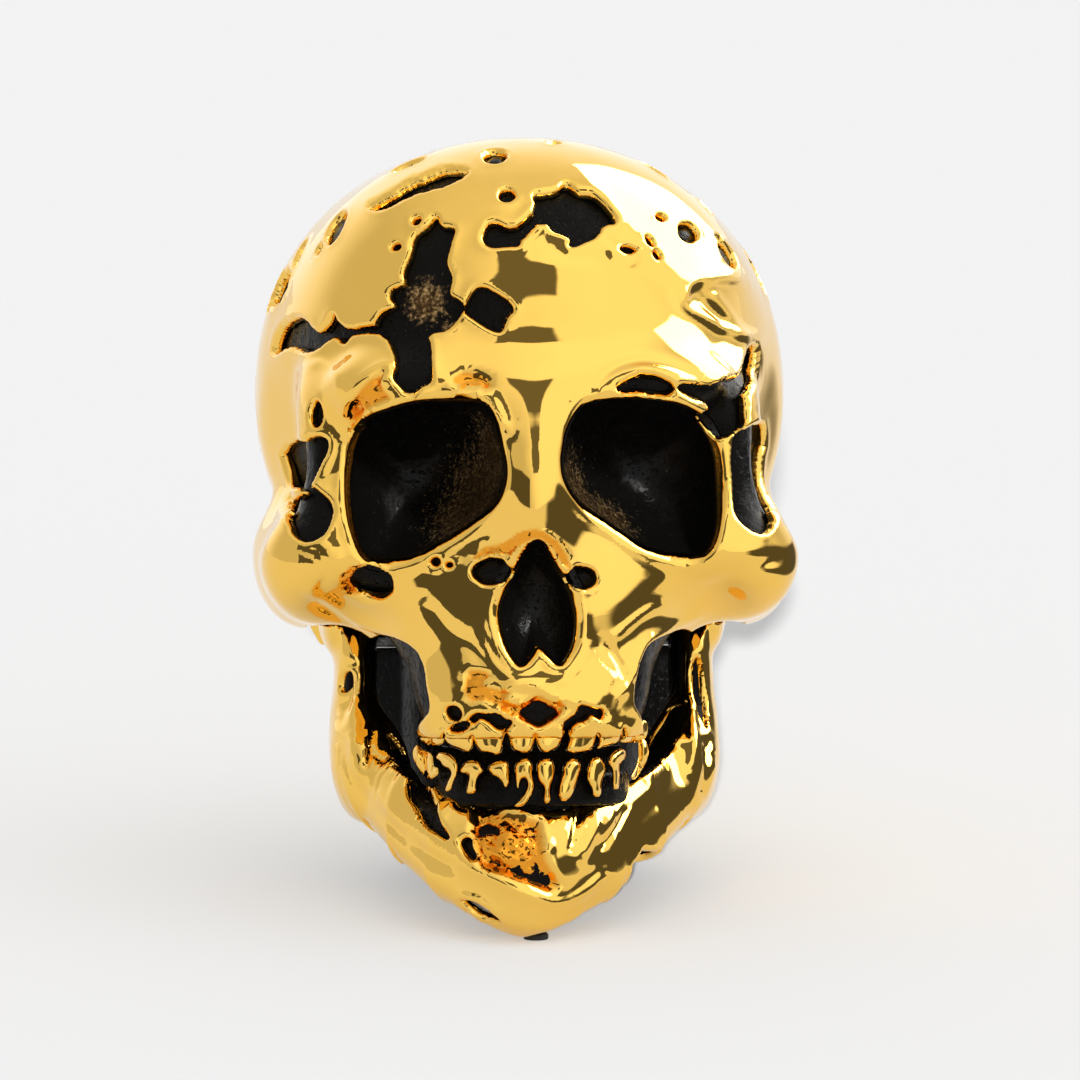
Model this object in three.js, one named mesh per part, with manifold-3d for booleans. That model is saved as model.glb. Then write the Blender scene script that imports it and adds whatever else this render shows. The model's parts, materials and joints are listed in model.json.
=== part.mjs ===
// Skull ornament: a ragged polished gold skin over a black moulded core, with a
// hinged lower jaw, separate teeth and a black neck to stand on. Millimetres.
// The skull is drawn upright with x to its side, y to its back and z up from the
// chin, then the whole is tilted back so that it stands on its neck and chin pads.
import * as THREE from 'three';
import { mergeVertices } from 'three/addons/utils/BufferGeometryUtils.js';
import Module from 'manifold-3d';

const wasm = await Module();
wasm.setup();

// Overall sizes of the skull before it is tilted.
const WIDTH = 104;
const DEPTH = 130;
const HEIGHT = 150;
const TILT_DEG = 10;

// Walls and clearances.
const GOLD_WALL = 1.8;
const FIT_GAP = 0.3;
const CUP_WALL = 1.6;
const OVERRUN = 20;

// Where the skull divides, as shares of its depth and height.
const seamShare = 0.123;
const palateBackShare = -0.123;
const undersideShare = 0.36;
const upperToothTopShare = 0.2733;
const lowerToothBottomShare = 0.1667;
const jawShoulderShare = 0.2267;
const jawSkinTopShare = 0.36;
const SEAM_Y = seamShare * DEPTH;
const PALATE_BACK_Y = palateBackShare * DEPTH;
const UNDERSIDE_Z = undersideShare * HEIGHT;
const UPPER_TOOTH_TOP_Z = upperToothTopShare * HEIGHT;
const LOWER_TOOTH_BOTTOM_Z = lowerToothBottomShare * HEIGHT;
const JAW_SHOULDER_Z = jawShoulderShare * HEIGHT;
const JAW_SKIN_TOP_Z = jawSkinTopShare * HEIGHT;

// Eye and nose recesses: where they start, as shares of the depth, and their depths.
const eyeFrontShare = -0.477;
const noseFrontShare = -0.508;
const EYE_FRONT_Y = eyeFrontShare * DEPTH;
const EYE_DEPTH = 42;
const NOSE_FRONT_Y = noseFrontShare * DEPTH;
const NOSE_DEPTH = 30;
const CORE_WALL = 3;

// Jaw hinge: its place as shares of width, depth and height, and its sizes.
const hingeShares = [0.3173, 0.0462, 0.4133];
const HINGE_X = hingeShares[0] * WIDTH;
const HINGE_Y = hingeShares[1] * DEPTH;
const HINGE_Z = hingeShares[2] * HEIGHT;
const CONDYLE_RADIUS = 5;
const CONDYLE_HALF_THICKNESS = 4.3;
const PIN_RADIUS = 1.6;
const PIN_HEAD_RADIUS = 3.4;
const PIN_HEAD_THICKNESS = 1.8;
const PIN_GRIP = 9.7;
const BUSH_WALL = 1;
const JAW_CLEARANCE = 0.9;
const POCKET_OUTER_GAP = 3.7;
const POCKET_FRONT_GAP = 2.5;

// Teeth and gums.
const UPPER_TOOTH_COUNT = 8;
const LOWER_TOOTH_COUNT = 10;
const UPPER_TOOTH_HEIGHT = 6.6;
const LOWER_TOOTH_HEIGHT = 7;
const TOOTH_DEPTH = 4.6;
const TOOTH_SPACE = 0.7;
const TOOTH_ROW_SWEEP_DEG = 148;
const upperArchShares = [0.1885, 0.1615];
const lowerArchShares = [0.1962, 0.1577];
const archCentreShare = -0.2077;
const UPPER_ARCH = [upperArchShares[0] * WIDTH, upperArchShares[1] * DEPTH];
const LOWER_ARCH = [lowerArchShares[0] * WIDTH, lowerArchShares[1] * DEPTH];
const ARCH_CENTRE_Y = archCentreShare * DEPTH;
const GUM_WIDTH = 6;
const UPPER_GUM_HEIGHT = 5.2;
const LOWER_GUM_HEIGHT = 5.6;

// Neck, its screws, cap and the felt pads.
const CHIN_FLAT = 0.8;
const PAD_THICKNESS = 1;
const CAP_THICKNESS = 2.4;
const NECK_WALL = 2.6;
const NECK_TOP_WALL = 3;
const NECK_FOOT_HALF_WIDTH = 17;
const NECK_FOOT_HALF_DEPTH = 19;
const NECK_TOP_HALF_DEPTH = 26;
const neckFootCentreShare = 0.154;
const neckCentreShare = 0.115;
const neckWaistShare = 0.207;
const NECK_FOOT_CENTRE_Y = neckFootCentreShare * DEPTH;
const NECK_CENTRE_Y = neckCentreShare * DEPTH;
const NECK_WAIST_Z = neckWaistShare * HEIGHT;
const SCREW_RADIUS = 1.4;
const SCREW_HEAD_RADIUS = 2.8;
const SCREW_HEAD_THICKNESS = 1.8;
const SCREW_LENGTH = 11;
const DRIVER_REACH = 10;
const SCREW_SIDE_INSET = 14.5;
const FRONT_SCREW_INSET = 13;
const REAR_SCREW_INSET = 11;
const CHIN_PAD_HALF_WIDTH = 5;
const CHIN_PAD_HALF_DEPTH = 3;
const chinPadShare = -0.331;
const CHIN_PAD_Y = chinPadShare * DEPTH;

// Facet counts.
const SKULL_MERIDIANS = 40;
const SKULL_RINGS = 26;
const RING_POINTS = 12;
const ROUND_SIDES = 16;
const OUTLINE_STEPS = 20;

// Point inside the skull that its skins are drawn from.
const UNITS = new THREE.Vector3(WIDTH, DEPTH, HEIGHT);
const skullCentreShares = [0, 0.015, 0.56];
const SKULL_CENTRE = fromShares(...skullCentreShares);
const MARCH_START = HEIGHT;
const FINE_STEP = 0.05;
const faceBiasShare = 1.2;
const jawSquarenessShare = 0.8;
const TOOTH_SIDES = 8;

const finishes = {
  gold: new THREE.MeshStandardMaterial({ color: 0xe0ab4a, roughness: 0.06, metalness: 1 }),
  black: new THREE.MeshStandardMaterial({ color: 0x0c0b0a, roughness: 0.22, metalness: 0 }),
  steel: new THREE.MeshStandardMaterial({ color: 0xb8b6b0, roughness: 0.3, metalness: 1 }),
  nylon: new THREE.MeshStandardMaterial({ color: 0xd9d6cc, roughness: 0.55, metalness: 0 }),
  felt: new THREE.MeshStandardMaterial({ color: 0x1b1a19, roughness: 0.95, metalness: 0 }),
};

// Clay masses: centre and radii as shares of width, depth and height, the power
// of the rounded form, the blend as a share of the width, and 1 when paired.
const skullMassShares = [
  [[0, 0.092, 0.68], [0.481, 0.4, 0.32], 2.1, 0.077, 0],
  [[0, -0.146, 0.773], [0.365, 0.227, 0.207], 2.1, 0.135, 0],
  [[0, 0.277, 0.56], [0.346, 0.215, 0.2], 2, 0.135, 0],
  [[0, 0.108, 0.44], [0.346, 0.277, 0.127], 2.2, 0.115, 0],
  [[0.3, 0.115, 0.42], [0.077, 0.085, 0.08], 2, 0.087, 1],
  [[0, -0.177, 0.533], [0.365, 0.192, 0.22], 2.3, 0.096, 0],
  [[0.183, -0.308, 0.683], [0.173, 0.081, 0.05], 2, 0.087, 1],
  [[0, -0.323, 0.66], [0.115, 0.081, 0.06], 2, 0.087, 0],
  [[0, -0.346, 0.547], [0.067, 0.085, 0.1], 2, 0.087, 0],
  [[0.361, -0.208, 0.587], [0.072, 0.092, 0.12], 2, 0.087, 1],
  [[0.351, -0.223, 0.47], [0.127, 0.112, 0.083], 2, 0.077, 1],
  [[0.413, -0.046, 0.473], [0.085, 0.208, 0.057], 2.1, 0.067, 1],
  [[0, -0.246, 0.373], [0.24, 0.138, 0.14], 2.3, 0.087, 0],
  [[0, -0.254, 0.287], [0.207, 0.138, 0.063], 2.4, 0.077, 0],
];
const skullHollowShares = [
  [[0.51, -0.169, 0.613], [0.087, 0.169, 0.093], 2, 0.087, 1],
  [[0.346, -0.323, 0.36], [0.087, 0.108, 0.067], 2, 0.077, 1],
];
const cavityBackShare = 0.431;
const cavityShares = { middleZ: 0.693, halfWidth: 0.385, halfHeight: 0.253 };

// Jaw sections from the chin to the hinge: x, y and z of the middle as shares of
// width, depth and height, then half thickness over the width and half height
// over the height.
const jawSectionShares = [
  [0, -0.338, 0.087, 0.064, 0.0867],
  [0.085, -0.325, 0.097, 0.062, 0.0832],
  [0.16, -0.283, 0.122, 0.058, 0.0749],
  [0.218, -0.217, 0.149, 0.053, 0.0693],
  [0.26, -0.142, 0.175, 0.047, 0.0679],
  [0.289, -0.073, 0.209, 0.043, 0.0714],
  [0.306, -0.026, 0.253, 0.0415, 0.0735],
  [0.313, 0.006, 0.305, 0.0413, 0.0679],
  [0.317, 0.03, 0.36, 0.0413, 0.0499],
];

// Outlines seen from the front, as shares of width and height.
const leftEyeShares = [
  [-0.319, 0.615], [-0.282, 0.644], [-0.227, 0.658], [-0.133, 0.664], [-0.091, 0.661], [-0.067, 0.615],
  [-0.061, 0.586], [-0.08, 0.541], [-0.114, 0.519], [-0.202, 0.484], [-0.274, 0.471], [-0.314, 0.501],
  [-0.329, 0.562],
];
const rightEyeShares = [
  [0.067, 0.607], [0.101, 0.659], [0.141, 0.665], [0.19, 0.665], [0.281, 0.65], [0.326, 0.603],
  [0.332, 0.557], [0.313, 0.483], [0.292, 0.473], [0.205, 0.488], [0.101, 0.539], [0.065, 0.587],
];
const noseShares = [
  [0, 0.488], [0.029, 0.469], [0.06, 0.431], [0.069, 0.401], [0.06, 0.359], [0.04, 0.341],
  [-0.002, 0.36], [-0.031, 0.339], [-0.052, 0.357], [-0.07, 0.401], [-0.052, 0.441], [-0.016, 0.481],
];

// Ragged breaks in the gold: how far back each one cuts, as a share of the
// depth, and its outline seen from the front.
const breakShares = {
  cross: [-0.05, [
    [-0.171, 0.902], [-0.138, 0.886], [-0.153, 0.843], [-0.122, 0.786], [-0.183, 0.75], [-0.182, 0.697],
    [-0.218, 0.679], [-0.249, 0.702], [-0.241, 0.723], [-0.287, 0.761], [-0.249, 0.787], [-0.231, 0.824],
    [-0.209, 0.877],
  ]],
  left_arm: [-0.05, [
    [-0.297, 0.764], [-0.355, 0.777], [-0.386, 0.756], [-0.424, 0.774], [-0.45, 0.761], [-0.466, 0.74],
    [-0.435, 0.735], [-0.386, 0.737], [-0.337, 0.745],
  ]],
  patch: [-0.1, [
    [-0.118, 0.785], [-0.102, 0.808], [-0.053, 0.797], [-0.033, 0.784], [-0.058, 0.757], [-0.084, 0.764],
  ]],
  top_centre: [-0.02, [
    [-0.073, 0.891], [-0.034, 0.887], [0.002, 0.902], [0.014, 0.926], [0.069, 0.941], [0.118, 0.927],
    [0.158, 0.894], [0.078, 0.864], [0.047, 0.883], [-0.015, 0.872], [-0.067, 0.864],
  ]],
  upper_left: [0.08, [
    [-0.285, 0.916], [-0.248, 0.917], [-0.138, 0.945], [-0.109, 0.958], [-0.152, 0.961], [-0.248, 0.93],
  ]],
  right_temple: [-0.1, [
    [0.402, 0.732], [0.413, 0.728], [0.404, 0.684], [0.384, 0.633], [0.346, 0.621], [0.308, 0.648],
    [0.273, 0.681], [0.364, 0.694],
  ]],
  right_side: [-0.1, [
    [0.374, 0.62], [0.428, 0.635], [0.446, 0.608], [0.43, 0.56], [0.445, 0.518], [0.425, 0.501],
    [0.378, 0.526], [0.37, 0.595],
  ]],
  left_upper: [-0.1, [
    [-0.47, 0.608], [-0.421, 0.619], [-0.377, 0.625], [-0.364, 0.613], [-0.408, 0.557], [-0.444, 0.582],
  ]],
  left_lower: [-0.1, [
    [-0.432, 0.547], [-0.441, 0.523], [-0.428, 0.504], [-0.39, 0.497], [-0.359, 0.53], [-0.395, 0.55],
  ]],
  cheek: [-0.2, [
    [-0.323, 0.447], [-0.285, 0.46], [-0.258, 0.449], [-0.256, 0.43], [-0.281, 0.42], [-0.325, 0.433],
  ]],
  jaw_side: [-0.3, [
    [-0.226, 0.191], [-0.201, 0.189], [-0.177, 0.145], [-0.159, 0.119], [-0.186, 0.128], [-0.215, 0.157],
  ]],
};

/** A point given as shares of the overall width, depth and height. */
function fromShares(x, y, z) {
  return new THREE.Vector3(x, y, z).multiply(UNITS);
}

/** Distance-like value of one rounded mass at a point, below zero inside it. */
function massValue(point, centre, radii, power) {
  const [dx, dy, dz] = [point.x - centre.x, point.y - centre.y, point.z - centre.z];
  const sum = Math.abs(dx / radii.x) ** power + Math.abs(dy / radii.y) ** power
    + Math.abs(dz / radii.z) ** power;
  const scale = Math.max(sum ** (1 / power), Number.EPSILON);
  return Math.hypot(dx, dy, dz) * (1 - 1 / scale);
}

/** Smallest of two values with a rounded corner between them. */
function smoothMin(a, b, blend) {
  const overlap = Math.max(blend - Math.abs(a - b), 0) / blend;
  return Math.min(a, b) - overlap * overlap * blend / 4;
}

/** Turns a table of shares into masses in millimetres. */
function readMasses(table) {
  return table.map(([centre, radii, power, blend, paired]) => ({
    centre: fromShares(...centre), radii: fromShares(...radii), power, blend: blend * WIDTH, paired,
  }));
}

const skullMasses = readMasses(skullMassShares);
const skullHollows = readMasses(skullHollowShares);

/** Clay value of the skull at a point: below zero inside, zero on its skin. */
function skullValue(point) {
  const folded = new THREE.Vector3(Math.abs(point.x), point.y, point.z);
  let value = Infinity;
  for (const mass of skullMasses) {
    const own = massValue(mass.paired ? folded : point, mass.centre, mass.radii, mass.power);
    value = value === Infinity ? own : smoothMin(value, own, mass.blend);
  }
  for (const hollow of skullHollows) {
    value = -smoothMin(-value, massValue(folded, hollow.centre, hollow.radii, hollow.power), hollow.blend);
  }
  return value;
}

/** Distance from the skull's centre to the clay level along one direction. */
function reach(direction, level) {
  const point = new THREE.Vector3();
  const valueAt = (distance) => skullValue(point.copy(direction).multiplyScalar(distance).add(SKULL_CENTRE));
  let far = MARCH_START;
  let value = valueAt(far) - level;
  while (value > FINE_STEP && far > 0) {
    far -= value / 2;
    value = valueAt(far) - level;
  }
  return far;
}

/** Closed solid from a geometry whose corners are merged. */
function solid(geometry) {
  const bare = geometry.clone();
  bare.deleteAttribute('normal');
  bare.deleteAttribute('uv');
  const merged = mergeVertices(bare);
  return new wasm.Manifold(new wasm.Mesh({
    numProp: 3,
    vertProperties: new Float32Array(merged.attributes.position.array),
    triVerts: new Uint32Array(merged.index.array),
  }));
}

/** Wrapped skin of the clay at a level, with its finest facets on the face. */
function skullSkin(level) {
  const ball = new THREE.SphereGeometry(1, SKULL_MERIDIANS, SKULL_RINGS);
  ball.deleteAttribute('normal');
  ball.deleteAttribute('uv');
  const geometry = mergeVertices(ball);
  const corners = geometry.attributes.position;
  const direction = new THREE.Vector3();
  for (let i = 0; i < corners.count; i += 1) {
    direction.fromBufferAttribute(corners, i).normalize();
    const fromFace = Math.PI - Math.acos(direction.y);
    const turned = Math.PI * (fromFace / Math.PI) ** faceBiasShare;
    const around = Math.atan2(direction.z, direction.x);
    const ring = Math.sin(turned);
    direction.set(ring * Math.cos(around), -Math.cos(turned), ring * Math.sin(around)).normalize();
    const place = direction.clone().multiplyScalar(reach(direction, level)).add(SKULL_CENTRE);
    corners.setXYZ(i, place.x, place.y, place.z);
  }
  return solid(geometry);
}

/** Closed solid through rings of equal point counts, with flat ends. */
function loft(rings) {
  const count = rings[0].length;
  const places = rings.flat();
  const faces = [];
  for (let ring = 0; ring + 1 < rings.length; ring += 1) {
    for (let i = 0; i < count; i += 1) {
      const next = (i + 1) % count;
      const [a, b] = [ring * count + i, ring * count + next];
      const [c, d] = [a + count, b + count];
      faces.push(a, b, d, a, d, c);
    }
  }
  for (const [ring, start, flip] of [[rings[0], 0, true], [rings.at(-1), places.length - count, false]]) {
    const middle = ring.reduce((sum, p) => sum.add(p), new THREE.Vector3()).divideScalar(count);
    places.push(middle);
    for (let i = 0; i < count; i += 1) {
      const [a, b] = [start + i, start + (i + 1) % count];
      faces.push(...(flip ? [b, a, places.length - 1] : [a, b, places.length - 1]));
    }
  }
  if (signedVolume(places, faces) < 0) faces.reverse();
  const geometry = new THREE.BufferGeometry().setFromPoints(places);
  geometry.setIndex(faces);
  return solid(geometry);
}

/** Volume of a triangle mesh, below zero when its faces point inwards. */
function signedVolume(places, faces) {
  let volume = 0;
  for (let i = 0; i < faces.length; i += 3) {
    const [a, b, c] = [places[faces[i]], places[faces[i + 1]], places[faces[i + 2]]];
    volume += a.dot(new THREE.Vector3().crossVectors(b, c)) / 6;
  }
  return volume;
}

/** Smooth closed outline through shares of width and height, in x and z. */
function outlinePoints(shares) {
  const corners = shares.map(([x, z]) => new THREE.Vector3(x * WIDTH, 0, z * HEIGHT));
  const curve = new THREE.CatmullRomCurve3(corners, true, 'centripetal');
  return curve.getPoints(OUTLINE_STEPS).slice(0, -1);
}

/** Bowl that follows an outline and narrows towards a rounded back. */
function bowl(shares, frontY, depth, grow) {
  const edge = outlinePoints(shares);
  const middle = edge.reduce((sum, p) => sum.add(p), new THREE.Vector3()).divideScalar(edge.length);
  const bowlProfileShares = [[0, 1.04], [0.5, 1], [0.8, 0.84], [1, 0.42]];
  const rings = bowlProfileShares.map(([depthShare, widthShare]) => edge.map((p) => {
    const arm = p.clone().sub(middle);
    const length = arm.length() * widthShare + grow;
    return arm.setLength(length).add(middle).setY(frontY + depthShare * depth + (depthShare && grow));
  }));
  return loft(rings);
}

/** Prism along the skull's front-to-back axis with an outline seen from the front. */
function frontPrism(corners, frontY, backY) {
  const shape = new THREE.Shape(corners.map((p) => new THREE.Vector2(p.x, p.z)));
  const depth = backY - frontY;
  const geometry = new THREE.ExtrudeGeometry(shape, { depth, bevelEnabled: false });
  geometry.rotateX(Math.PI / 2);
  geometry.translate(0, backY, 0);
  return solid(geometry);
}

/** Prism across the skull between two x values with a profile in y and z. */
function sidePrism(profile, fromX, toX) {
  const shape = new THREE.Shape(profile.map(([y, z]) => new THREE.Vector2(y, z)));
  const geometry = new THREE.ExtrudeGeometry(shape, { depth: toX - fromX, bevelEnabled: false });
  geometry.rotateY(Math.PI / 2);
  geometry.rotateX(Math.PI / 2);
  geometry.translate(fromX, 0, 0);
  return solid(geometry);
}

/** Round rod along x. */
function crossRod(radius, fromX, toX) {
  const geometry = new THREE.CylinderGeometry(radius, radius, toX - fromX, ROUND_SIDES);
  geometry.rotateZ(Math.PI / 2);
  geometry.translate((fromX + toX) / 2, HINGE_Y, HINGE_Z);
  return solid(geometry);
}

// The floor runs under the chin pad, whose top lies on a small flat of the chin.
const tilt = THREE.MathUtils.degToRad(TILT_DEG);
const [, , chinMiddleShare, , chinHalfHeightShare] = jawSectionShares[0];
const chinFlatZ = (chinMiddleShare - chinHalfHeightShare) * HEIGHT + CHIN_FLAT;
const floorUnderChinZ = chinFlatZ - (PAD_THICKNESS + FIT_GAP) / Math.cos(tilt);

/** Height of a plane parallel to the floor, lifted from it, at a given y. */
function floorHeight(y, lift) {
  return floorUnderChinZ + lift / Math.cos(tilt) + (y - CHIN_PAD_Y) * Math.tan(tilt);
}

/** Level oval ring at a height, or one parallel to the floor when lift is given. */
function oval(centreY, halfWidth, halfDepth, z, lift) {
  const ring = [];
  for (let i = 0; i < ROUND_SIDES; i += 1) {
    const turn = 2 * Math.PI * i / ROUND_SIDES;
    const y = centreY + halfDepth * Math.sin(turn);
    const height = lift === undefined ? z : floorHeight(y, lift);
    ring.push(new THREE.Vector3(halfWidth * Math.cos(turn), y, height));
  }
  return ring;
}

/** Half-space block below a plane parallel to the floor. */
function belowFloorPlane(lift) {
  const [front, back] = [-DEPTH, DEPTH];
  const [frontZ, backZ] = [floorHeight(front, lift), floorHeight(back, lift)];
  return sidePrism([[front, -HEIGHT], [back, -HEIGHT], [back, backZ], [front, frontZ]], -WIDTH, WIDTH);
}

const model = new THREE.Group();

/** Adds a solid to the model as a named piece. */
function place(name, made, finish) {
  const raw = made.getMesh();
  const geometry = new THREE.BufferGeometry();
  geometry.setAttribute('position', new THREE.BufferAttribute(new Float32Array(raw.vertProperties), 3));
  geometry.setIndex(new THREE.BufferAttribute(new Uint32Array(raw.triVerts), 1));
  geometry.computeVertexNormals();
  const mesh = new THREE.Mesh(geometry, finish);
  mesh.name = name;
  model.add(mesh);
}

/** The two sides of the skull, by name and sign of x. */
const sides = { left: -1, right: 1 };

/** Copies a solid made for the right side to the named side. */
function forSide(made, sign) {
  return sign < 0 ? made.mirror([1, 0, 0]) : made;
}

// Pocket under the cheek arch that the jaw's upper end swings in.
const pocketRoof = HINGE_Z + CONDYLE_RADIUS + JAW_CLEARANCE;
const pocketInnerX = HINGE_X - CONDYLE_HALF_THICKNESS - JAW_CLEARANCE;
const pocketFrontY = PALATE_BACK_Y + POCKET_FRONT_GAP;
const pocketBackY = HINGE_Y + 2 * CONDYLE_RADIUS + 2 * JAW_CLEARANCE;
const pocketShoulderZ = HINGE_Z - CONDYLE_RADIUS / 2;
const pocketOuterX = HINGE_X + CONDYLE_HALF_THICKNESS + POCKET_OUTER_GAP;
const pocketProfile = [
  [pocketFrontY, 0], [pocketBackY, 0], [pocketBackY, pocketShoulderZ], [HINGE_Y + CONDYLE_RADIUS, pocketRoof],
  [HINGE_Y - CONDYLE_RADIUS, pocketRoof], [pocketFrontY, pocketShoulderZ],
];
const pocketRight = sidePrism(pocketProfile, pocketInnerX, pocketOuterX);
const pockets = pocketRight.add(pocketRight.mirror([1, 0, 0]));

/** Everything below the skull's underside, with the palate reaching lower. */
function belowSkull() {
  const profile = [
    [-DEPTH, -OVERRUN], [DEPTH, -OVERRUN], [DEPTH, UNDERSIDE_Z],
    [PALATE_BACK_Y, UNDERSIDE_Z], [PALATE_BACK_Y, UPPER_TOOTH_TOP_Z], [-DEPTH, UPPER_TOOTH_TOP_Z],
  ];
  return sidePrism(profile, -WIDTH, WIDTH);
}

/** Block on one side of the seam between the front and rear halves. */
function seamBlock(sign) {
  const near = SEAM_Y + sign * FIT_GAP / 2;
  const far = sign * 2 * DEPTH;
  const [low, high] = [Math.min(near, far), Math.max(near, far)];
  return sidePrism([[low, -HEIGHT], [high, -HEIGHT], [high, 2 * HEIGHT], [low, 2 * HEIGHT]], -WIDTH, WIDTH);
}

/** Rod along z for a screw hole or a shank. */
function uprightRod(x, y, radius, fromZ, toZ) {
  const geometry = new THREE.CylinderGeometry(radius, radius, toZ - fromZ, ROUND_SIDES);
  geometry.rotateX(Math.PI / 2);
  geometry.translate(x, y, (fromZ + toZ) / 2);
  return solid(geometry);
}

const neckHalfWidth = pocketInnerX - FIT_GAP;
const screwX = neckHalfWidth - SCREW_SIDE_INSET;
const frontScrewY = NECK_CENTRE_Y - NECK_TOP_HALF_DEPTH + FRONT_SCREW_INSET;
const rearScrewY = NECK_CENTRE_Y + NECK_TOP_HALF_DEPTH - REAR_SCREW_INSET;
const screwPlaces = [frontScrewY, rearScrewY].flatMap((y) => [[-screwX, y], [screwX, y]]);
const pinRootX = HINGE_X - CONDYLE_HALF_THICKNESS - PIN_GRIP;
const screwTipZ = UNDERSIDE_Z - NECK_TOP_WALL + SCREW_LENGTH;
const eyeOutlines = { left: leftEyeShares, right: rightEyeShares };
const coreLevel = -(GOLD_WALL + FIT_GAP);
const coreSkin = skullSkin(coreLevel);

/** Gold skin of the skull with its sockets, nose and ragged breaks, in two halves. */
function addGoldSkin() {
  let skin = skullSkin(0).subtract(skullSkin(-GOLD_WALL)).subtract(belowSkull()).subtract(pockets);
  for (const outline of [leftEyeShares, rightEyeShares, noseShares]) {
    skin = skin.subtract(frontPrism(outlinePoints(outline), -DEPTH, EYE_FRONT_Y + EYE_DEPTH));
  }
  for (const [name, [backShare, shares]] of Object.entries(breakShares)) {
    if (name === 'jaw_side') continue;
    const corners = shares.map(([x, z]) => new THREE.Vector3(x * WIDTH, 0, z * HEIGHT));
    skin = skin.subtract(frontPrism(corners, -DEPTH, backShare * DEPTH));
  }
  place('face_shell', skin.intersect(seamBlock(-1)), finishes.gold);
  place('rear_shell', skin.intersect(seamBlock(1)), finishes.gold);
}

/** Black core under the gold, hollow in the braincase, in two halves. */
function addCore() {
  const frontY = EYE_FRONT_Y + EYE_DEPTH + CUP_WALL + FIT_GAP + CORE_WALL;
  const backY = cavityBackShare * DEPTH;
  const hollow = new THREE.SphereGeometry(1, ROUND_SIDES, ROUND_SIDES / 2);
  hollow.scale(cavityShares.halfWidth * WIDTH, (backY - frontY) / 2, cavityShares.halfHeight * HEIGHT);
  hollow.translate(0, (backY + frontY) / 2, cavityShares.middleZ * HEIGHT);
  let core = coreSkin.subtract(solid(hollow)).subtract(belowSkull()).subtract(pockets);
  for (const outline of Object.values(eyeOutlines)) {
    core = core.subtract(bowl(outline, EYE_FRONT_Y, EYE_DEPTH, CUP_WALL + FIT_GAP));
  }
  core = core.subtract(bowl(noseShares, NOSE_FRONT_Y, NOSE_DEPTH, CUP_WALL + FIT_GAP));
  for (const [x, y] of screwPlaces) {
    core = core.subtract(uprightRod(x, y, SCREW_RADIUS + FIT_GAP, 0, screwTipZ + FIT_GAP));
  }
  for (const sign of Object.values(sides)) {
    core = core.subtract(forSide(crossRod(PIN_RADIUS + FIT_GAP, pinRootX - FIT_GAP, HINGE_X), sign));
  }
  place('core_front', core.intersect(seamBlock(-1)), finishes.black);
  place('core_rear', core.intersect(seamBlock(1)), finishes.black);
}

/** Glossy black bowls of the eyes and the nose. */
function addCups() {
  const parts = {
    eye_cup_left: [leftEyeShares, EYE_FRONT_Y, EYE_DEPTH],
    eye_cup_right: [rightEyeShares, EYE_FRONT_Y, EYE_DEPTH],
    nose_cup: [noseShares, NOSE_FRONT_Y, NOSE_DEPTH],
  };
  for (const [name, [shares, frontY, depth]] of Object.entries(parts)) {
    const cup = bowl(shares, frontY, depth, CUP_WALL).subtract(bowl(shares, frontY, depth, 0));
    place(name, cup.intersect(coreSkin), finishes.black);
  }
}

/** Point at a turn from the middle of a dental arch, moved in from it. */
function archPoint([halfWidth, depth], inset, turn) {
  const x = (halfWidth - inset) * Math.sin(turn);
  return new THREE.Vector3(x, ARCH_CENTRE_Y - (depth - inset) * Math.cos(turn), 0);
}

/** Black gum behind a row of teeth. */
function addGum(name, arch, bottomZ, height) {
  const sweep = THREE.MathUtils.degToRad(TOOTH_ROW_SWEEP_DEG);
  const inset = TOOTH_DEPTH / 2 + FIT_GAP;
  const outer = [];
  const inner = [];
  for (let i = 0; i <= ROUND_SIDES; i += 1) {
    const turn = sweep * (i / ROUND_SIDES - 1 / 2);
    outer.push(archPoint(arch, inset, turn));
    inner.push(archPoint(arch, inset + GUM_WIDTH, turn));
  }
  const shape = new THREE.Shape([...outer, ...inner.reverse()].map((p) => new THREE.Vector2(p.x, p.y)));
  const geometry = new THREE.ExtrudeGeometry(shape, { depth: height, bevelEnabled: false });
  geometry.translate(0, 0, bottomZ);
  place(name, solid(geometry), finishes.black);
}

/** One tooth: a rounded block that narrows to its root, standing on z = 0. */
function toothShape(width, height) {
  const toothProfileShares = [[0, 0], [0.36, 0], [0.44, 0.12], [0.5, 0.55], [0.46, 0.88], [0.34, 1], [0, 1]];
  const profile = toothProfileShares.map(([across, up]) => new THREE.Vector2(across * width, up * height));
  const geometry = new THREE.LatheGeometry(profile, TOOTH_SIDES);
  geometry.rotateX(Math.PI / 2);
  geometry.scale(1, TOOTH_DEPTH / width, 1);
  return geometry;
}

/** Row of gold teeth in front of a gum, numbered from the left. */
function addTeeth(prefix, count, arch, edgeZ, height, hangs) {
  const sweep = THREE.MathUtils.degToRad(TOOTH_ROW_SWEEP_DEG);
  const step = sweep / count;
  for (let i = 0; i < count; i += 1) {
    const turn = step * (i + 1 / 2) - sweep / 2;
    const seat = archPoint(arch, 0, turn);
    const [before, after] = [turn - step / 2, turn + step / 2].map((edge) => archPoint(arch, 0, edge));
    const tooth = toothShape(before.distanceTo(after) - TOOTH_SPACE, height);
    if (hangs) tooth.rotateY(Math.PI);
    tooth.rotateZ(Math.atan2(after.y - before.y, after.x - before.x));
    tooth.translate(seat.x, seat.y, edgeZ);
    place(`${prefix}_${i + 1}`, solid(tooth), finishes.gold);
  }
}

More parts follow.
